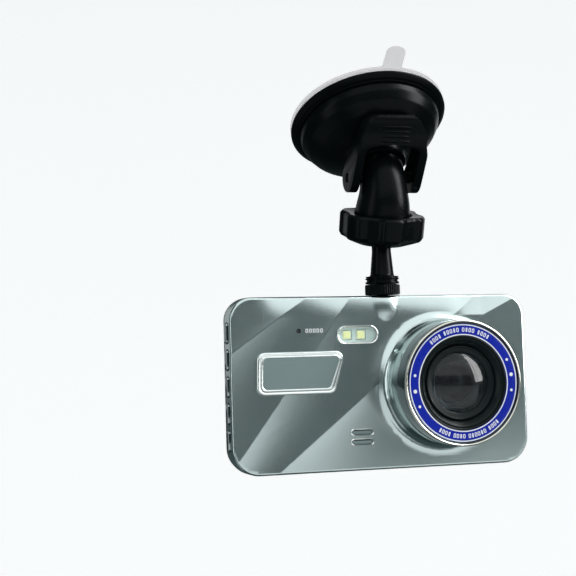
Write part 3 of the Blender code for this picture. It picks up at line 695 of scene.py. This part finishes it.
def plate_outline(k, y, r=1.6):
    flat = arc_outline([(x + k * (1 if x < pcx else -1), z + k * (1 if z < pcz else -1), max(r, 0.4)) for x, z in
                        (PLATE[3], PLATE[2], PLATE[1], PLATE[0])], 8)
    return [(x, y, z) for x, z in flat]


rim_sections = [(0.0, 0.75, 3.0), (0.0, -0.10, 3.0), (0.12, -0.42, 2.9), (0.42, -0.62, 2.7), (0.75, -0.58, 2.45),
                (0.95, -0.42, 2.3), (1.12, -0.42, 2.15), (1.35, -0.78, 1.95), (1.65, -0.95, 1.75), (1.95, -0.86, 1.5), (2.15, -0.62, 1.4)]
bm = bmesh.new()
front = [[bm.verts.new(p) for p in plate_outline(k, y, r)] for k, y, r in rim_sections]
back = [[bm.verts.new(p) for p in plate_outline(k, y, r)] for k, y, r in ((2.15, 0.75, 1.4),)]
rings = front + back
n = len(rings[0])
for a, b in zip(rings, rings[1:] + rings[:1]):
    for k in range(n):
        bm.faces.new((a[k], a[(k + 1) % n], b[(k + 1) % n], b[k]))
# the rim is the face's body paint, given a lighter base colour than the face as a painted highlight along its ridges
piece(mesh_object("v_plate_rim", done(bm)), silver_paint("plate_rim_paint_painted_glint", (0.66, 0.71, 0.70), 0.20), "camera", (), 50)
inner_plate = loft([plate_outline(2.2, 0.7, 1.3), plate_outline(2.2, -0.55, 1.3), plate_outline(2.3, -0.6, 1.3)])
piece(mesh_object("v_name_plate", inner_plate), M_PLATE, "camera", ("name_plate",), 12)

bm = bmesh.new()
ring_sections = ((0.0, 0.7), (0.0, -0.12), (-0.12, -0.34), (-0.42, -0.45), (-0.82, -0.40), (-1.1, -0.18), (-1.2, 0.9), (-0.6, 0.9))
rings = [[bm.verts.new(p) for p in pill(PILL_X, PILL_Z, PILL_W + a, PILL_H + a, y, 16)] for a, y in ring_sections]
n = len(rings[0])
for a, b in zip(rings, rings[1:] + rings[:1]):
    for k in range(n):
        bm.faces.new((a[k], a[(k + 1) % n], b[(k + 1) % n], b[k]))
piece(mesh_object("v_lamp_bezel", done(bm)), M_CHROME, "camera", ("lamp_bezel",), 50)
win = loft([pill(PILL_X, PILL_Z, PILL_W - a, PILL_H - a, y, 16) for a, y in ((1.3, 1.3), (1.3, 0.12), (1.5, 0.03))])
piece(mesh_object("v_lamp_window", win), M_WINDOW, "camera", ("lamp_window",), 40)
tray = loft([pill(PILL_X, PILL_Z, PILL_W - 0.9, PILL_H - 0.9, y, 16) for y in (1.75, 2.9)])
ob = mesh_object("v_lamp_tray", tray)
booleans(ob, ("DIFFERENCE", joined(*[loft([pill(x, PILL_Z, 3.25 + g, 3.15 + g, y, 5, r=0.4) for g, y in ((0.6, 1.0), (0.6, 1.7), (0.0, 2.95))]) for x in LED_X])))
piece(ob, M_REFLECT, "camera", (), 30)
for i, x in enumerate(LED_X, 1):
    body = block((x - 1.6, x + 1.6), (1.95, 2.8), (PILL_Z - 1.55, PILL_Z + 1.55))
    ob = mesh_object("v_lamp_case_%d" % i, body)
    booleans(ob, ("DIFFERENCE", loft([pill(x, PILL_Z, 2.8 + g, 2.7 + g, y, 5, r=0.45) for g, y in ((0.3, 1.5), (0.0, 2.25))])))
    piece(ob, M_LEDCASE, "camera", (), 30)
    dome = loft([pill(x, PILL_Z, 2.7 - a, 2.6 - a, y, 6, r=0.5) for a, y in ((0, 2.2), (0, 2.02), (0.3, 1.93), (1.0, 1.88))])
    piece(mesh_object("v_lamp_led_%d" % i, dome), M_LED, "camera", ("lamp_led_%d" % i,), 60)

# ------------------------------------------------------------------ side keys
for name, z in zip(KEY_NAMES, KEY_Z):
    out = BODY_W / 2
    secs = []
    for dx, d in ((0.0, 0.55), (0.04, 0.32), (0.16, 0.13), (0.34, 0.03), (0.6, 0.0), (KEY_OUT + 1.9, 0.0)):
        secs.append([(-out - KEY_OUT + dx, yy, zz) for yy, zz in arc_outline(
            ((KEY_Y - KEY_W / 2 + d, z - KEY_L / 2 + d, max(0.9 - d, 0.3)), (KEY_Y + KEY_W / 2 - d, z - KEY_L / 2 + d, max(0.9 - d, 0.3)),
             (KEY_Y + KEY_W / 2 - d, z + KEY_L / 2 - d, max(0.9 - d, 0.3)), (KEY_Y - KEY_W / 2 + d, z + KEY_L / 2 - d, max(0.9 - d, 0.3))), 6)])
    ob = mesh_object("v_" + name, loft(secs))
    booleans(ob, ("UNION", block((-out + 1.85, -out + 2.4), (KEY_Y - 2.1, KEY_Y + 2.1), (z - 4.3, z + 4.3))))
    piece(ob, M_KEY, name, (name,), 35)

# ---------------------------------------------------------------- lens turret
turned("v_lens_collar", [(22.05, 9.75, 0.1), (22.15, 10.1, 0.05), (22.15, 16.1, 0.1), (21.95, 16.5, 0.1), (21.2, 16.5), (21.2, 17.3, 0.08), (20.75, 17.3, 0.08), (20.75, 16.5), (17.2, 16.5), (17.2, 5.0), (19.6, 5.0), (19.6, 9.75)],
       M_COLLAR, "camera", ("lens_collar",), r=0.1)
trim = [(21.85, 16.6, 0.05), (22.2, 16.85, 0.12), (22.2, 17.35, 0.15), (22.02, 17.75, 0.18), (21.7, 17.92, 0.18), (21.4, 17.75, 0.12), (21.28, 17.35, 0.05), (21.28, 16.6, 0.05)]
turned("v_trim_ring", trim, M_WARM, "camera", ("trim_ring",), r=0.1, seg=192, sharp=60)
turned("v_blue_ring", [(20.65, 16.7), (20.65, 17.28), (16.65, 17.28), (16.65, 16.7)], M_BLUE, "camera", ("blue_ring",), r=0.06, seg=192)


def ring_band(r0, r1, h0, h1, a0=0.0, a1=2 * math.pi, seg=192):
    """Thin flat print between two radii, over an angle. Angles run anticlockwise from +X seen from the front."""
    bm = bmesh.new()
    closed = a1 - a0 > 2 * math.pi - 1e-6
    n = seg if closed else max(2, int(seg * (a1 - a0) / (2 * math.pi)))
    cols = []
    for k in range(n if closed else n + 1):
        a = a0 + (a1 - a0) * k / n
        cols.append([bm.verts.new((LENS_X + r * math.cos(a), -h, LENS_Z + r * math.sin(a))) for r, h in ((r0, h0), (r1, h0), (r1, h1), (r0, h1))])
    for i in range(len(cols) if closed else len(cols) - 1):
        p, q = cols[i], cols[(i + 1) % len(cols)]
        for j in range(4):
            bm.faces.new((p[j], p[(j + 1) % 4], q[(j + 1) % 4], q[j]))
    if not closed:
        bm.faces.new(cols[0])
        bm.faces.new(cols[-1])
    return done(bm)


def dot(a, r, size, h0, h1):
    m = axes(Vector((LENS_X + r * math.cos(a), 0, LENS_Z + r * math.sin(a))), -Y)
    return lathe([(0, h0), (size, h0), (size, h1), (0, h1)], 28, m)


H0, H1 = 17.2, 17.32
prints = [ring_band(20.15, 20.5, H0, H1), ring_band(16.72, 17.1, H0, H1)]
TURN = math.radians(7.5)
for side in (0.0, math.pi):
    for k, size in ((-1, 0.5), (0, 0.68), (1, 0.5)):
        prints.append(dot(side + TURN + math.radians(17) * k, 18.62, size, H0, H1))
# generic frames and bars in place of lettering, in groups
for lo_a, hi_a, groups, flip in ((56.5, 131.6, (4, 4, 5, 4), 1), (237.8, 313.5, (4, 4, 6, 4), -1)):
    n = sum(groups) + 0.75 * (len(groups) - 1)
    step = (hi_a - lo_a) / n
    at = lo_a + step / 2
    for g, count in enumerate(groups):
        for k in range(count):
            a = math.radians(at)
            out_v, side_v = Vector((math.cos(a), math.sin(a))), Vector((-math.sin(a), math.cos(a)))
            w = 0.92 if (k + g) % 3 else 0.62

            def spot(u, v, d, out_v=out_v, side_v=side_v):
                p = out_v * (18.62 + v) + side_v * u
                return (LENS_X + p.x, -H1 if d < 0 else -H0, LENS_Z + p.y)

            prints.append(frame_mark(w, 1.5, 0.27, spot))
            at += step
        at += 0.75 * step
piece(mesh_object("v_ring_print", joined(*prints)), M_WHITE, "camera", (), 40)

turned("v_lens_bezel", [(16.45, 12.0), (16.45, 17.1, 0.1), (16.2, 17.22, 0.08), (15.95, 17.05, 0.05), (15.9, 16.55, 0.05), (15.55, 16.55, 0.1), (15.3, 16.85, 0.1), (14.6, 16.2, 0.4), (13.75, 15.1, 0.3), (13.35, 14.2, 0.1), (13.3, 12.0)],
       M_LENSBLK, "camera", ("lens_bezel",), r=0.1, seg=160, sharp=50)
turned("v_lens_retainer", [(13.0, 13.55), (13.0, 14.75, 0.15), (12.6, 14.95, 0.15), (12.3, 14.6, 0.1), (11.0, 14.35, 0.1), (10.62, 14.05, 0.1), (10.62, 13.55)],
       M_LENSBLK, "camera", ("lens_retainer",), r=0.1, seg=160, sharp=50)
turned("v_lens_barrel", [(13.0, -0.6), (13.0, 13.4), (10.7, 13.4), (10.7, 11.2, 0.1), (9.6, 11.0, 0.1), (9.3, 10.2, 0.1), (8.4, 10.0, 0.1), (8.2, 9.4, 0.1), (7.4, 9.2, 0.1), (7.0, 8.6, 0.1), (7.0, 1.0), (5.0, 1.0), (5.0, -0.6)],
       M_LENSBLK, "camera", ("lens_barrel",), r=0.1, seg=128, sharp=40)
dome = [(0, 11.8), (FR := 10.4, 11.8), (FR, 13.85)]
RAD = 22.0
for k in range(1, 15):
    a = math.asin(FR / RAD) * (1 - k / 14)
    dome.append((RAD * math.sin(a), 13.85 + RAD * math.cos(a) - math.sqrt(RAD * RAD - FR * FR)))
dome[-1] = (0, dome[-1][1])
ob = mesh_object("v_front_lens", lathe([(0, 13.0)] + [(4.0, 12.85), (7.4, 12.3), (9.2, 11.8), (FR, 11.8), (FR, 13.85)] + dome[3:], 128, LENS))
piece(ob, M_GLASS, "camera", ("front_lens",), 40)
inner = [(0, 7.4), (6.8, 7.4), (6.8, 8.0)]
RI = 9.0
for k in range(1, 13):
    a = math.asin(5.6 / RI) * (1 - k / 12)
    inner.append((RI * math.sin(a), 8.0 + RI * math.cos(a) - math.sqrt(RI * RI - 5.6 * 5.6)))
inner[-1] = (0, inner[-1][1])
piece(mesh_object("v_inner_lens", lathe(inner, 96, LENS)), M_GLASS2, "camera", ("inner_lens",), 40)

# ---------------------------------------------------------------- the mount
TEETH = 46


def knurl(r, h, a):
    if r < 5.9 or h < 31.55 or h > 34.75:
        return r
    return r - 0.17 * (0.5 + 0.5 * math.cos(TEETH * a)) ** 1.5


tp = [(6.0, 31.3, 0.1), (6.3, 31.55, 0.05), (6.3, 31.9, 0), (6.3, 34.4, 0), (6.3, 34.75, 0.05), (6.0, 35.0, 0.1), (2.25, 35.0), (2.25, 31.3)]
turned("v_thumb_nut", tp, M_MOUNT, "thumb", ("thumb_nut",), STUD, TEETH * 8, 0.1, radius=knurl)

stud = [(0, 23.2), (1.7, 23.2, 0), (2.0, 23.6, 0)]
z = 24.0
while z < 34.8:
    stud += [(2.0, z, 0), (1.78, z + 0.2, 0)]
    z += 0.4
stud += [(2.0, 35.1, 0), (2.0, 35.35, 0), (6.0, 35.35, 0.15), (6.1, 35.5, 0.1), (6.1, 35.95, 0.12), (5.6, 36.15, 0.1), (5.6, 36.75, 0.1), (6.1, 36.95, 0.12),
         (6.1, 37.3, 0.1), (5.7, 37.45, 0.08), (5.7, 37.6, 0.05), (5.95, 37.7, 0.05), (5.9, 37.95, 0.1), (4.5, 38.0, 0.35), (4.2, 38.9, 0.6), (3.45, 47.0, 1.5)]
a_start = math.degrees(math.asin(3.45 / BALL_R))
stud_pts = rounded(stud + [(3.45, BALL_Z - BALL_R * math.cos(math.radians(a_start)), 0)], 0.0, 3)
for k in range(1, 25):
    d = math.radians(a_start + (180 - a_start) * k / 24)
    stud_pts.append((BALL_R * math.sin(d) if k < 24 else 0.0, BALL_Z - BALL_R * math.cos(d)))
piece(mesh_object("v_ball_stud", lathe(stud_pts, 96, STUD)), M_MOUNT, "stud", ("ball_stud",), 40)


def lobes(r, h, a):
    if r < 12.0:
        return r
    c = math.cos(6 * (a - math.radians(25.7)))
    dip = 0.5 - 0.5 * math.tanh(2.0 * (c + 0.15)) / math.tanh(2.3)
    k = min(1.0, (r - 12.0) / 2.2)
    return r - 1.75 * dip * k


nut = [(6.2, -3.0), (8.8, -3.0, 0.4), (12.4, -1.7, 1.2), (14.6, -0.9, 1.0), (15.4, 0.4, 0.7), (15.45, 7.2, 0.6), (14.7, 8.2, 0.6), (12.6, 8.0, 0.5), (10.9, 7.9, 0.3), (10.3, 7.6, 0.2),
       (10.3, 6.2), (9.35, 6.0), (9.35, -2.2), (6.2, -2.35)]
turned("v_lock_nut", nut, M_MOUNT, "nut", ("lock_nut",), ARM, 288, 0.2, 4, radius=lobes, sharp=45)

# arm: one smooth tube from the ball socket, round the elbow, to the cup housing
arm_sections = []


def arm_point(s):
    """Centre and tangent of the arm's line at a length from the ball centre."""
    bend0, bend1 = 10.5, 24.5
    total = LEAN + TILT
    if s <= bend0:
        return BALL + ARM_AXIS * s, ARM_AXIS
    rad = (bend1 - bend0) / total
    t = min(s, bend1) - bend0
    ang = t / rad
    fwd, side_v = ARM_AXIS, X.cross(ARM_AXIS) * -1.0
    p = BALL + ARM_AXIS * bend0 + fwd * (rad * math.sin(ang)) + side_v * (rad * (1 - math.cos(ang)))
    d = fwd * math.cos(ang) + side_v * math.sin(ang)
    if s > bend1:
        p = p + d * (s - bend1)
    return p, d


def smooth_step(a, b, v):
    t = min(1.0, max(0.0, (v - a) / (b - a)))
    return t * t * (3 - 2 * t)


end_s = 0.0
s = -1.95
stations = []
while s < 60:
    p, d = arm_point(s)
    t = -(p - RIM).dot(CUP_N)
    if s > 24 and t < 17.6:
        break
    stations.append(s)
    s += 0.35 if 5.5 < s < 26 else 0.8
end_s = stations[-1]
for s in stations:
    p, d = arm_point(s)
    y_dir = d.cross(X)
    if s < 6.6:
        rx = ry = 9.0
    elif s < 7.0:
        rx = ry = 9.0 + 0.9 * (s - 6.6) / 0.4
    else:
        rx = 9.9 - 1.75 * smooth_step(7.5, 20.0, s)
        ry = 9.9 - 1.7 * smooth_step(8.5, 27.0, s)
    sec = []
    for k in range(96):
        a = 2 * math.pi * k / 96
        c, q = math.cos(a), math.sin(a)
        sec.append(p + X * (rx * c) + y_dir * (ry * q))
    arm_sections.append([tuple(v) for v in sec])
ob = mesh_object("v_elbow_arm", loft(arm_sections))
sock = BALL_R + 0.25
pocket = [(0, 7.6), (4.9, 7.6), (4.9, 2.8)] + [(sock * math.cos(a), sock * math.sin(a)) for a in [math.radians(d) for d in range(28, -19, -4)]] + [(5.3, -1.8), (5.3, -3.0), (0, -3.0)]
slot_cut = block((-20, 20), (-1.85, 1.85), (26.0 - 3.9, 26.0 + 1.9), CUP)
booleans(ob, ("DIFFERENCE", lathe(pocket, 64, ARM)), ("DIFFERENCE", lathe([(0, 14.0), (4.2, 14.0), (4.2, 29.6), (0, 29.6)], 40, CUP)), ("DIFFERENCE", slot_cut))
piece(ob, M_MOUNT, "suction_base", ("elbow_arm",), 45)

housing = [(25.7, 2.7, 0.2), (25.9, 3.6, 0.6), (25.5, 5.6, 3), (23.6, 8.6, 5), (20.2, 11.4, 6), (15.9, 13.9, 4), (12.2, 15.5, 1.6), (10.3, 16.9, 0.8), (9.9, 20.4, 0.3),
           (8.55, 20.4), (8.55, 15.1), (4.4, 15.1), (4.4, 13.2), (12.0, 12.2), (17.6, 9.6), (21.9, 6.4), (24.0, 3.1)]
turned("v_cup_housing", housing, M_MOUNT, "suction_base", ("cup_housing",), CUP, 160, 0.3, 5, sharp=45)
cup = [(0, 0), (28.5, 0.0, 0.1), (28.9, 0.25, 0.1), (28.9, 0.8, 0.15), (28.3, 1.35, 0.3), (27.4, 1.95, 0.4), (26.4, 2.25, 0.2), (26.2, 2.45, 0.1), (22.8, 2.5), (20.0, 4.0), (13.0, 7.0), (4.5, 7.0), (4.5, 6.2), (9.4, 6.2), (9.4, 1.6), (0, 1.6)]
turned("v_suction_cup", cup, M_RUBBER, "suction_base", ("suction_cup",), CUP, 160, 0.1, 3, sharp=45)
turned("v_gel_pad", [(0, -1.5), (28.0, -1.5, 0.2), (28.3, -1.2, 0.15), (28.3, -0.4, 0.15), (28.0, -0.15, 0.1), (0, -0.15)], M_GEL, "suction_base", ("gel_pad",), CUP, 160, 0.1, 3)
FILM_R, TAB_W, TAB_L = 28.8, 7.3, 11.0
half = math.asin((TAB_W / 2 + 0.8) / FILM_R)
turn = 1 if (CUP.to_3x3() @ Y).dot(CUP_E) > 0 else -1
outline = []
for k in range(181):
    a = math.pi / 2 + half + (2 * math.pi - 2 * half) * k / 180
    outline.append((FILM_R * math.cos(a), FILM_R * math.sin(a)))
for k in range(1, 6):     # small fillet where the tab leaves the disc
    a = math.pi * (1.5 - k / 10)
    fx, fy = TAB_W / 2 + 0.8, FILM_R * math.cos(half) + 0.8
    outline.append((fx + 0.8 * math.cos(a), fy + 0.8 * math.sin(a)))
for k in range(19):
    a = math.pi * k / 18
    rr = TAB_W / 2
    outline.append((rr * math.cos(a), FILM_R + TAB_L - rr + rr * math.sin(a)))
for k in range(1, 6):
    a = math.pi * (k / 10) - math.pi / 2 + math.pi / 2
    fx, fy = -(TAB_W / 2 + 0.8), FILM_R * math.cos(half) + 0.8
    ang = -math.pi / 10 * k
    outline.append((fx + 0.8 * math.cos(ang), fy + 0.8 * math.sin(ang)))
film_m = CUP if turn > 0 else CUP @ Matrix.Rotation(math.pi, 4, "Z")


def film_sheet(x, y, t):
    """The tab lifts a little off the plane, as a peeled corner does."""
    out = max(0.0, y - FILM_R * math.cos(half)) / TAB_L
    return (x + math.copysign(1, turn) * (0.9 * min(1.0, out * 6) - 2.6 * out), y, t + 0.3 * out * out)


bm = loft([[film_sheet(x, y, t) for x, y in outline] for t in (-2.0, -1.97, -1.73, -1.7)], film_m)
piece(mesh_object("v_protective_film", bm), M_FILM, "film", ("protective_film",), 40)

# lever: side profile, arch over the elbow, rounded paddle, four ribs
EAR_R, EAR_IN, EAR_OUT, LEVER_L = 5.2, 10.3, 13.3, 25.3


def lever_at(s, p, x):
    return PIVOT + LEVER_DIR * s + LEVER_DOWN * p + X * x


side = []
for k in range(25):
    a = math.pi / 2 + math.pi * k / 24
    side.append((EAR_R * math.cos(a), EAR_R * math.sin(a)))


def curve(points, n):
    """Catmull-Rom line through (s, p) points."""
    out = []
    for i in range(len(points) - 1):
        p0, p1, p2, p3 = (points[max(i - 1, 0)], points[i], points[i + 1], points[min(i + 2, len(points) - 1)])
        for k in range(n):
            t = k / n
            out.append(tuple(0.5 * (2 * b + (c - a) * t + (2 * a - 5 * b + 4 * c - d) * t * t + (3 * b - a - 3 * c + d) * t ** 3)
                             for a, b, c, d in zip(p0, p1, p2, p3)))
    out.append(points[-1])
    return out


side += curve([(0.0, -5.2), (7.0, -3.9), (14.0, -2.7), (19.0, -2.5), (23.0, -2.2), (24.8, -1.4), (25.3, -0.2), (24.7, 1.0), (22.4, 1.9), (19.0, 3.5), (15.0, 4.6), (7.0, 5.1), (0.0, 5.2)], 5)[1:-1]
ob = mesh_object("v_cam_lever", loft([[tuple(lever_at(s, p, x)) for s, p in side] for x in (-EAR_OUT, EAR_OUT)]))
arch = [(-9.0, -EAR_IN)]
for k in range(25):
    a = math.pi * k / 24
    arch.append((12.0 + 3.8 * math.sin(a) ** 0.75, -EAR_IN * math.cos(a)))
arch.append((-9.0, EAR_IN))
corner = []


def paddle_edge(s):
    """Half width of the lever along its length: full at the ears, a little narrower at the paddle, rounded at the tip."""
    w = EAR_OUT + 0.01 - 1.3 * smooth_step(11.0, 17.5, s)
    r = 8.6
    if s > LEVER_L + 0.25 - r:
        t = min(1.0, (s - (LEVER_L + 0.25 - r)) / r)
        w -= 8.0 * (1 - math.sqrt(max(0.0, 1 - t ** 2.2)))
    return w


for sx in (-1, 1):
    pts = [(10.0, sx * (EAR_OUT + 4)), (LEVER_L + 3, sx * (EAR_OUT + 4)), (LEVER_L + 3, sx * paddle_edge(LEVER_L + 0.25))]
    for k in range(33):
        v = LEVER_L + 0.25 - (LEVER_L - 10.0) * (k / 32) ** 1.6
        pts.append((v, sx * paddle_edge(v)))
    corner.append(loft([[tuple(lever_at(s, p, x)) for s, x in pts] for p in (-9.0, 9.0)]))
eye = axes(PIVOT, X, Z)
scoop_cut = []
for k in range(0):
    pass
booleans(ob, ("DIFFERENCE", loft([[tuple(lever_at(s, p, x)) for s, x in arch] for p in (-9.0, 9.0)])),
         ("DIFFERENCE", joined(*corner)),
         ("DIFFERENCE", lathe([(0, -20), (1.75, -20), (1.75, 20), (0, 20)], 40, eye)))
bevelled(ob, 0.5, 4, 38)
piece(ob, M_MOUNT, "lever", ("cam_lever",), 40)
ribs = []
for k in range(4):
    s0 = 17.0 + 1.55 * k
    p0 = 4.22 - (s0 - 17.0) * 0.40
    secs = []
    for j in range(9):
        x = -5.6 + 11.2 * j / 8
        w = 0.50 * (1 - (abs(j - 4) / 4) ** 6 * 0.7)
        ring = []
        for q in range(12):
            a = 2 * math.pi * q / 12
            ring.append(tuple(lever_at(s0 + w * math.cos(a), p0 - 0.1 + 0.75 * w * math.sin(a), x)))
        secs.append(ring)
    ribs.append(loft(secs))
piece(mesh_object("v_lever_ribs", joined(*ribs)), M_MOUNT, "lever", (), 60)

# ------------------------------------------------ carried-over CAD pieces
FINISH = {"lcd_panel": M_DISPLAY, "main_board": M_PCB, "sensor_board": M_PCB, "lamp_board": M_PCB, "key_board": M_PCB,
          "processor": M_CHIP, "reset_switch": M_CHIP, "speaker": M_CHIP, "battery": M_FOIL, "microphone": M_STEEL,
          "board_screw_1": M_STEEL, "board_screw_2": M_STEEL, "board_screw_3": M_STEEL, "board_screw_4": M_STEEL,
          "usb_port": M_STEEL, "card_slot": M_STEEL, "lever_pin": M_MOUNT, "av_jack": M_CHIP, "reset_button": M_CHIP,
          "image_sensor": M_SENSOR, "mount_insert": M_BRASS, "ball_seat": M_NYLON, "draw_post": M_MOUNT}
for name, ob in frame["nodes"].items():
    if ob.hide_render:
        continue
    mat = FINISH.get(name, M_CASE)
    ob.data.materials.clear()
    ob.data.materials.append(mat)
    ob.data.shade_smooth()
    ob.data.set_sharp_from_angle(angle=math.radians(35))

# ------------------------------------------------------------- floor, lights
lo, hi = CAD_LO, CAD_HI
centre = (lo + hi) / 2


def plain(name, colour, rough):
    n = Nodes(name).set(rough=rough, spec=0.2)
    n.link(n.ramp(n.noise(3, 2), [(0.3, tuple(c * 0.99 for c in colour)), (0.7, colour)]), "Base Color")
    return n.m


M_FLOOR = plain("pale_floor", (0.90, 0.90, 0.90), 0.8)
M_FLOOR.node_tree.nodes["Principled BSDF"].inputs["Emission Color"].default_value = (1, 1, 1, 1)
M_FLOOR.node_tree.nodes["Principled BSDF"].inputs["Emission Strength"].default_value = 0.68
floor_z = lo.z - 0.62
# a round sweep: flat floor that rises into a wall all the way round, so every view has the same pale ground
prof = [(0.0, floor_z), (0.5, floor_z), (1.2, floor_z)]
for k in range(1, 17):
    a = math.pi / 2 * k / 16
    prof.append((1.2 + 1.0 * math.sin(a), floor_z + 1.0 - 1.0 * math.cos(a)))
prof.append((2.2, floor_z + 3.2))
bm = bmesh.new()
rings = []
for r, h in prof:
    rings.append([bm.verts.new((0, 0, h))] if r == 0 else
                 [bm.verts.new((r * math.cos(2 * math.pi * k / 96), r * math.sin(2 * math.pi * k / 96), h)) for k in range(96)])
for p, q in zip(rings, rings[1:]):
    for k in range(96):
        j = (k + 1) % 96
        bm.faces.new((p[0], q[k], q[j]) if len(p) == 1 else (p[k], q[k], q[j], p[j]))
floor = mesh_object("studio_floor", bm, scale=False)
floor.data.shade_smooth()
floor.data.materials.append(M_FLOOR)
floor.visible_glossy = False
floor.visible_diffuse = False


def area(name, az, el, dist, size, radiance, colour=(1, 1, 1), target=None):
    """Soft box facing the object; radiance is what a mirror would show of it."""
    lamp = bpy.data.lights.new(name, "AREA")
    lamp.shape = "RECTANGLE"
    lamp.size, lamp.size_y = size
    lamp.energy = radiance * math.pi * size[0] * size[1]
    lamp.color = colour
    ob = bpy.data.objects.new(name, lamp)
    bpy.context.scene.collection.objects.link(ob)
    a, e = math.radians(az), math.radians(el)
    back = Vector((math.sin(a) * math.cos(e), -math.cos(a) * math.cos(e), math.sin(e)))
    t = target if target is not None else centre
    ob.location = t + back * dist
    ob.rotation_mode = "QUATERNION"
    ob.rotation_quaternion = back.to_track_quat("Z", "Y")
    ob.visible_camera = False
    return ob


world = bpy.data.worlds.new("studio")
bpy.context.scene.world = world
world.use_nodes = True
bgn = world.node_tree.nodes["Background"]
bgn.inputs["Color"].default_value = (0.70, 0.98, 1.0, 1)
bgn.inputs["Strength"].default_value = 0.10
bpy.context.scene.view_settings.view_transform = "Standard"

face = shell_lo.lerp(shell_hi, 0.5)
area("low_front", 12, -27, 1.2, (2.6, 0.86), 1.15, target=face)
area("top_front", 0, 34, 1.2, (2.4, 0.95), 1.6, target=face)
area("overhead", 0, 84, 1.1, (1.5, 1.3), 1.2)
area("under_left", -95, -48, 1.1, (0.9, 0.7), 0.5)
area("crescent", 62, 27, 1.1, (0.48, 1.15), 17.0, target=face).visible_diffuse = False
area("left_strip", -76, 4, 1.1, (0.34, 1.0), 2.2, target=face)
area("rear_left", -158, 14, 1.1, (0.6, 0.7), 0.45)
area("rear_right", 140, 20, 1.1, (0.7, 1.0), 1.0)

# -------------------------------------------------------------------- camera
AZ, EL, ROLL, DIST = math.radians(-17.92), math.radians(-2.57), math.radians(-1.5), 473.87
TX, TZ, FPX = -33.58, 34.28, 1339.17
back = Vector((math.sin(AZ) * math.cos(EL), -math.cos(AZ) * math.cos(EL), math.sin(EL)))
right = Vector((math.cos(AZ), math.sin(AZ), 0))
up = back.cross(right)
R = right * math.cos(ROLL) + up * math.sin(ROLL)
U = up * math.cos(ROLL) - right * math.sin(ROLL)
cam = bpy.data.cameras.new("photo_camera")
cam.sensor_width = 36.0
cam.lens = FPX / 576 * 36.0
cam.clip_start, cam.clip_end = 0.01, 20
cam_ob = bpy.data.objects.new("photo_camera", cam)
bpy.context.scene.collection.objects.link(cam_ob)
place = (Vector((TX, 5.0, TZ)) + back * DIST + BASE) * MM
cam_ob.matrix_world = Matrix(((R.x, U.x, back.x, place.x), (R.y, U.y, back.y, place.y), (R.z, U.z, back.z, place.z), (0, 0, 0, 1)))
bpy.context.scene.camera = cam_ob
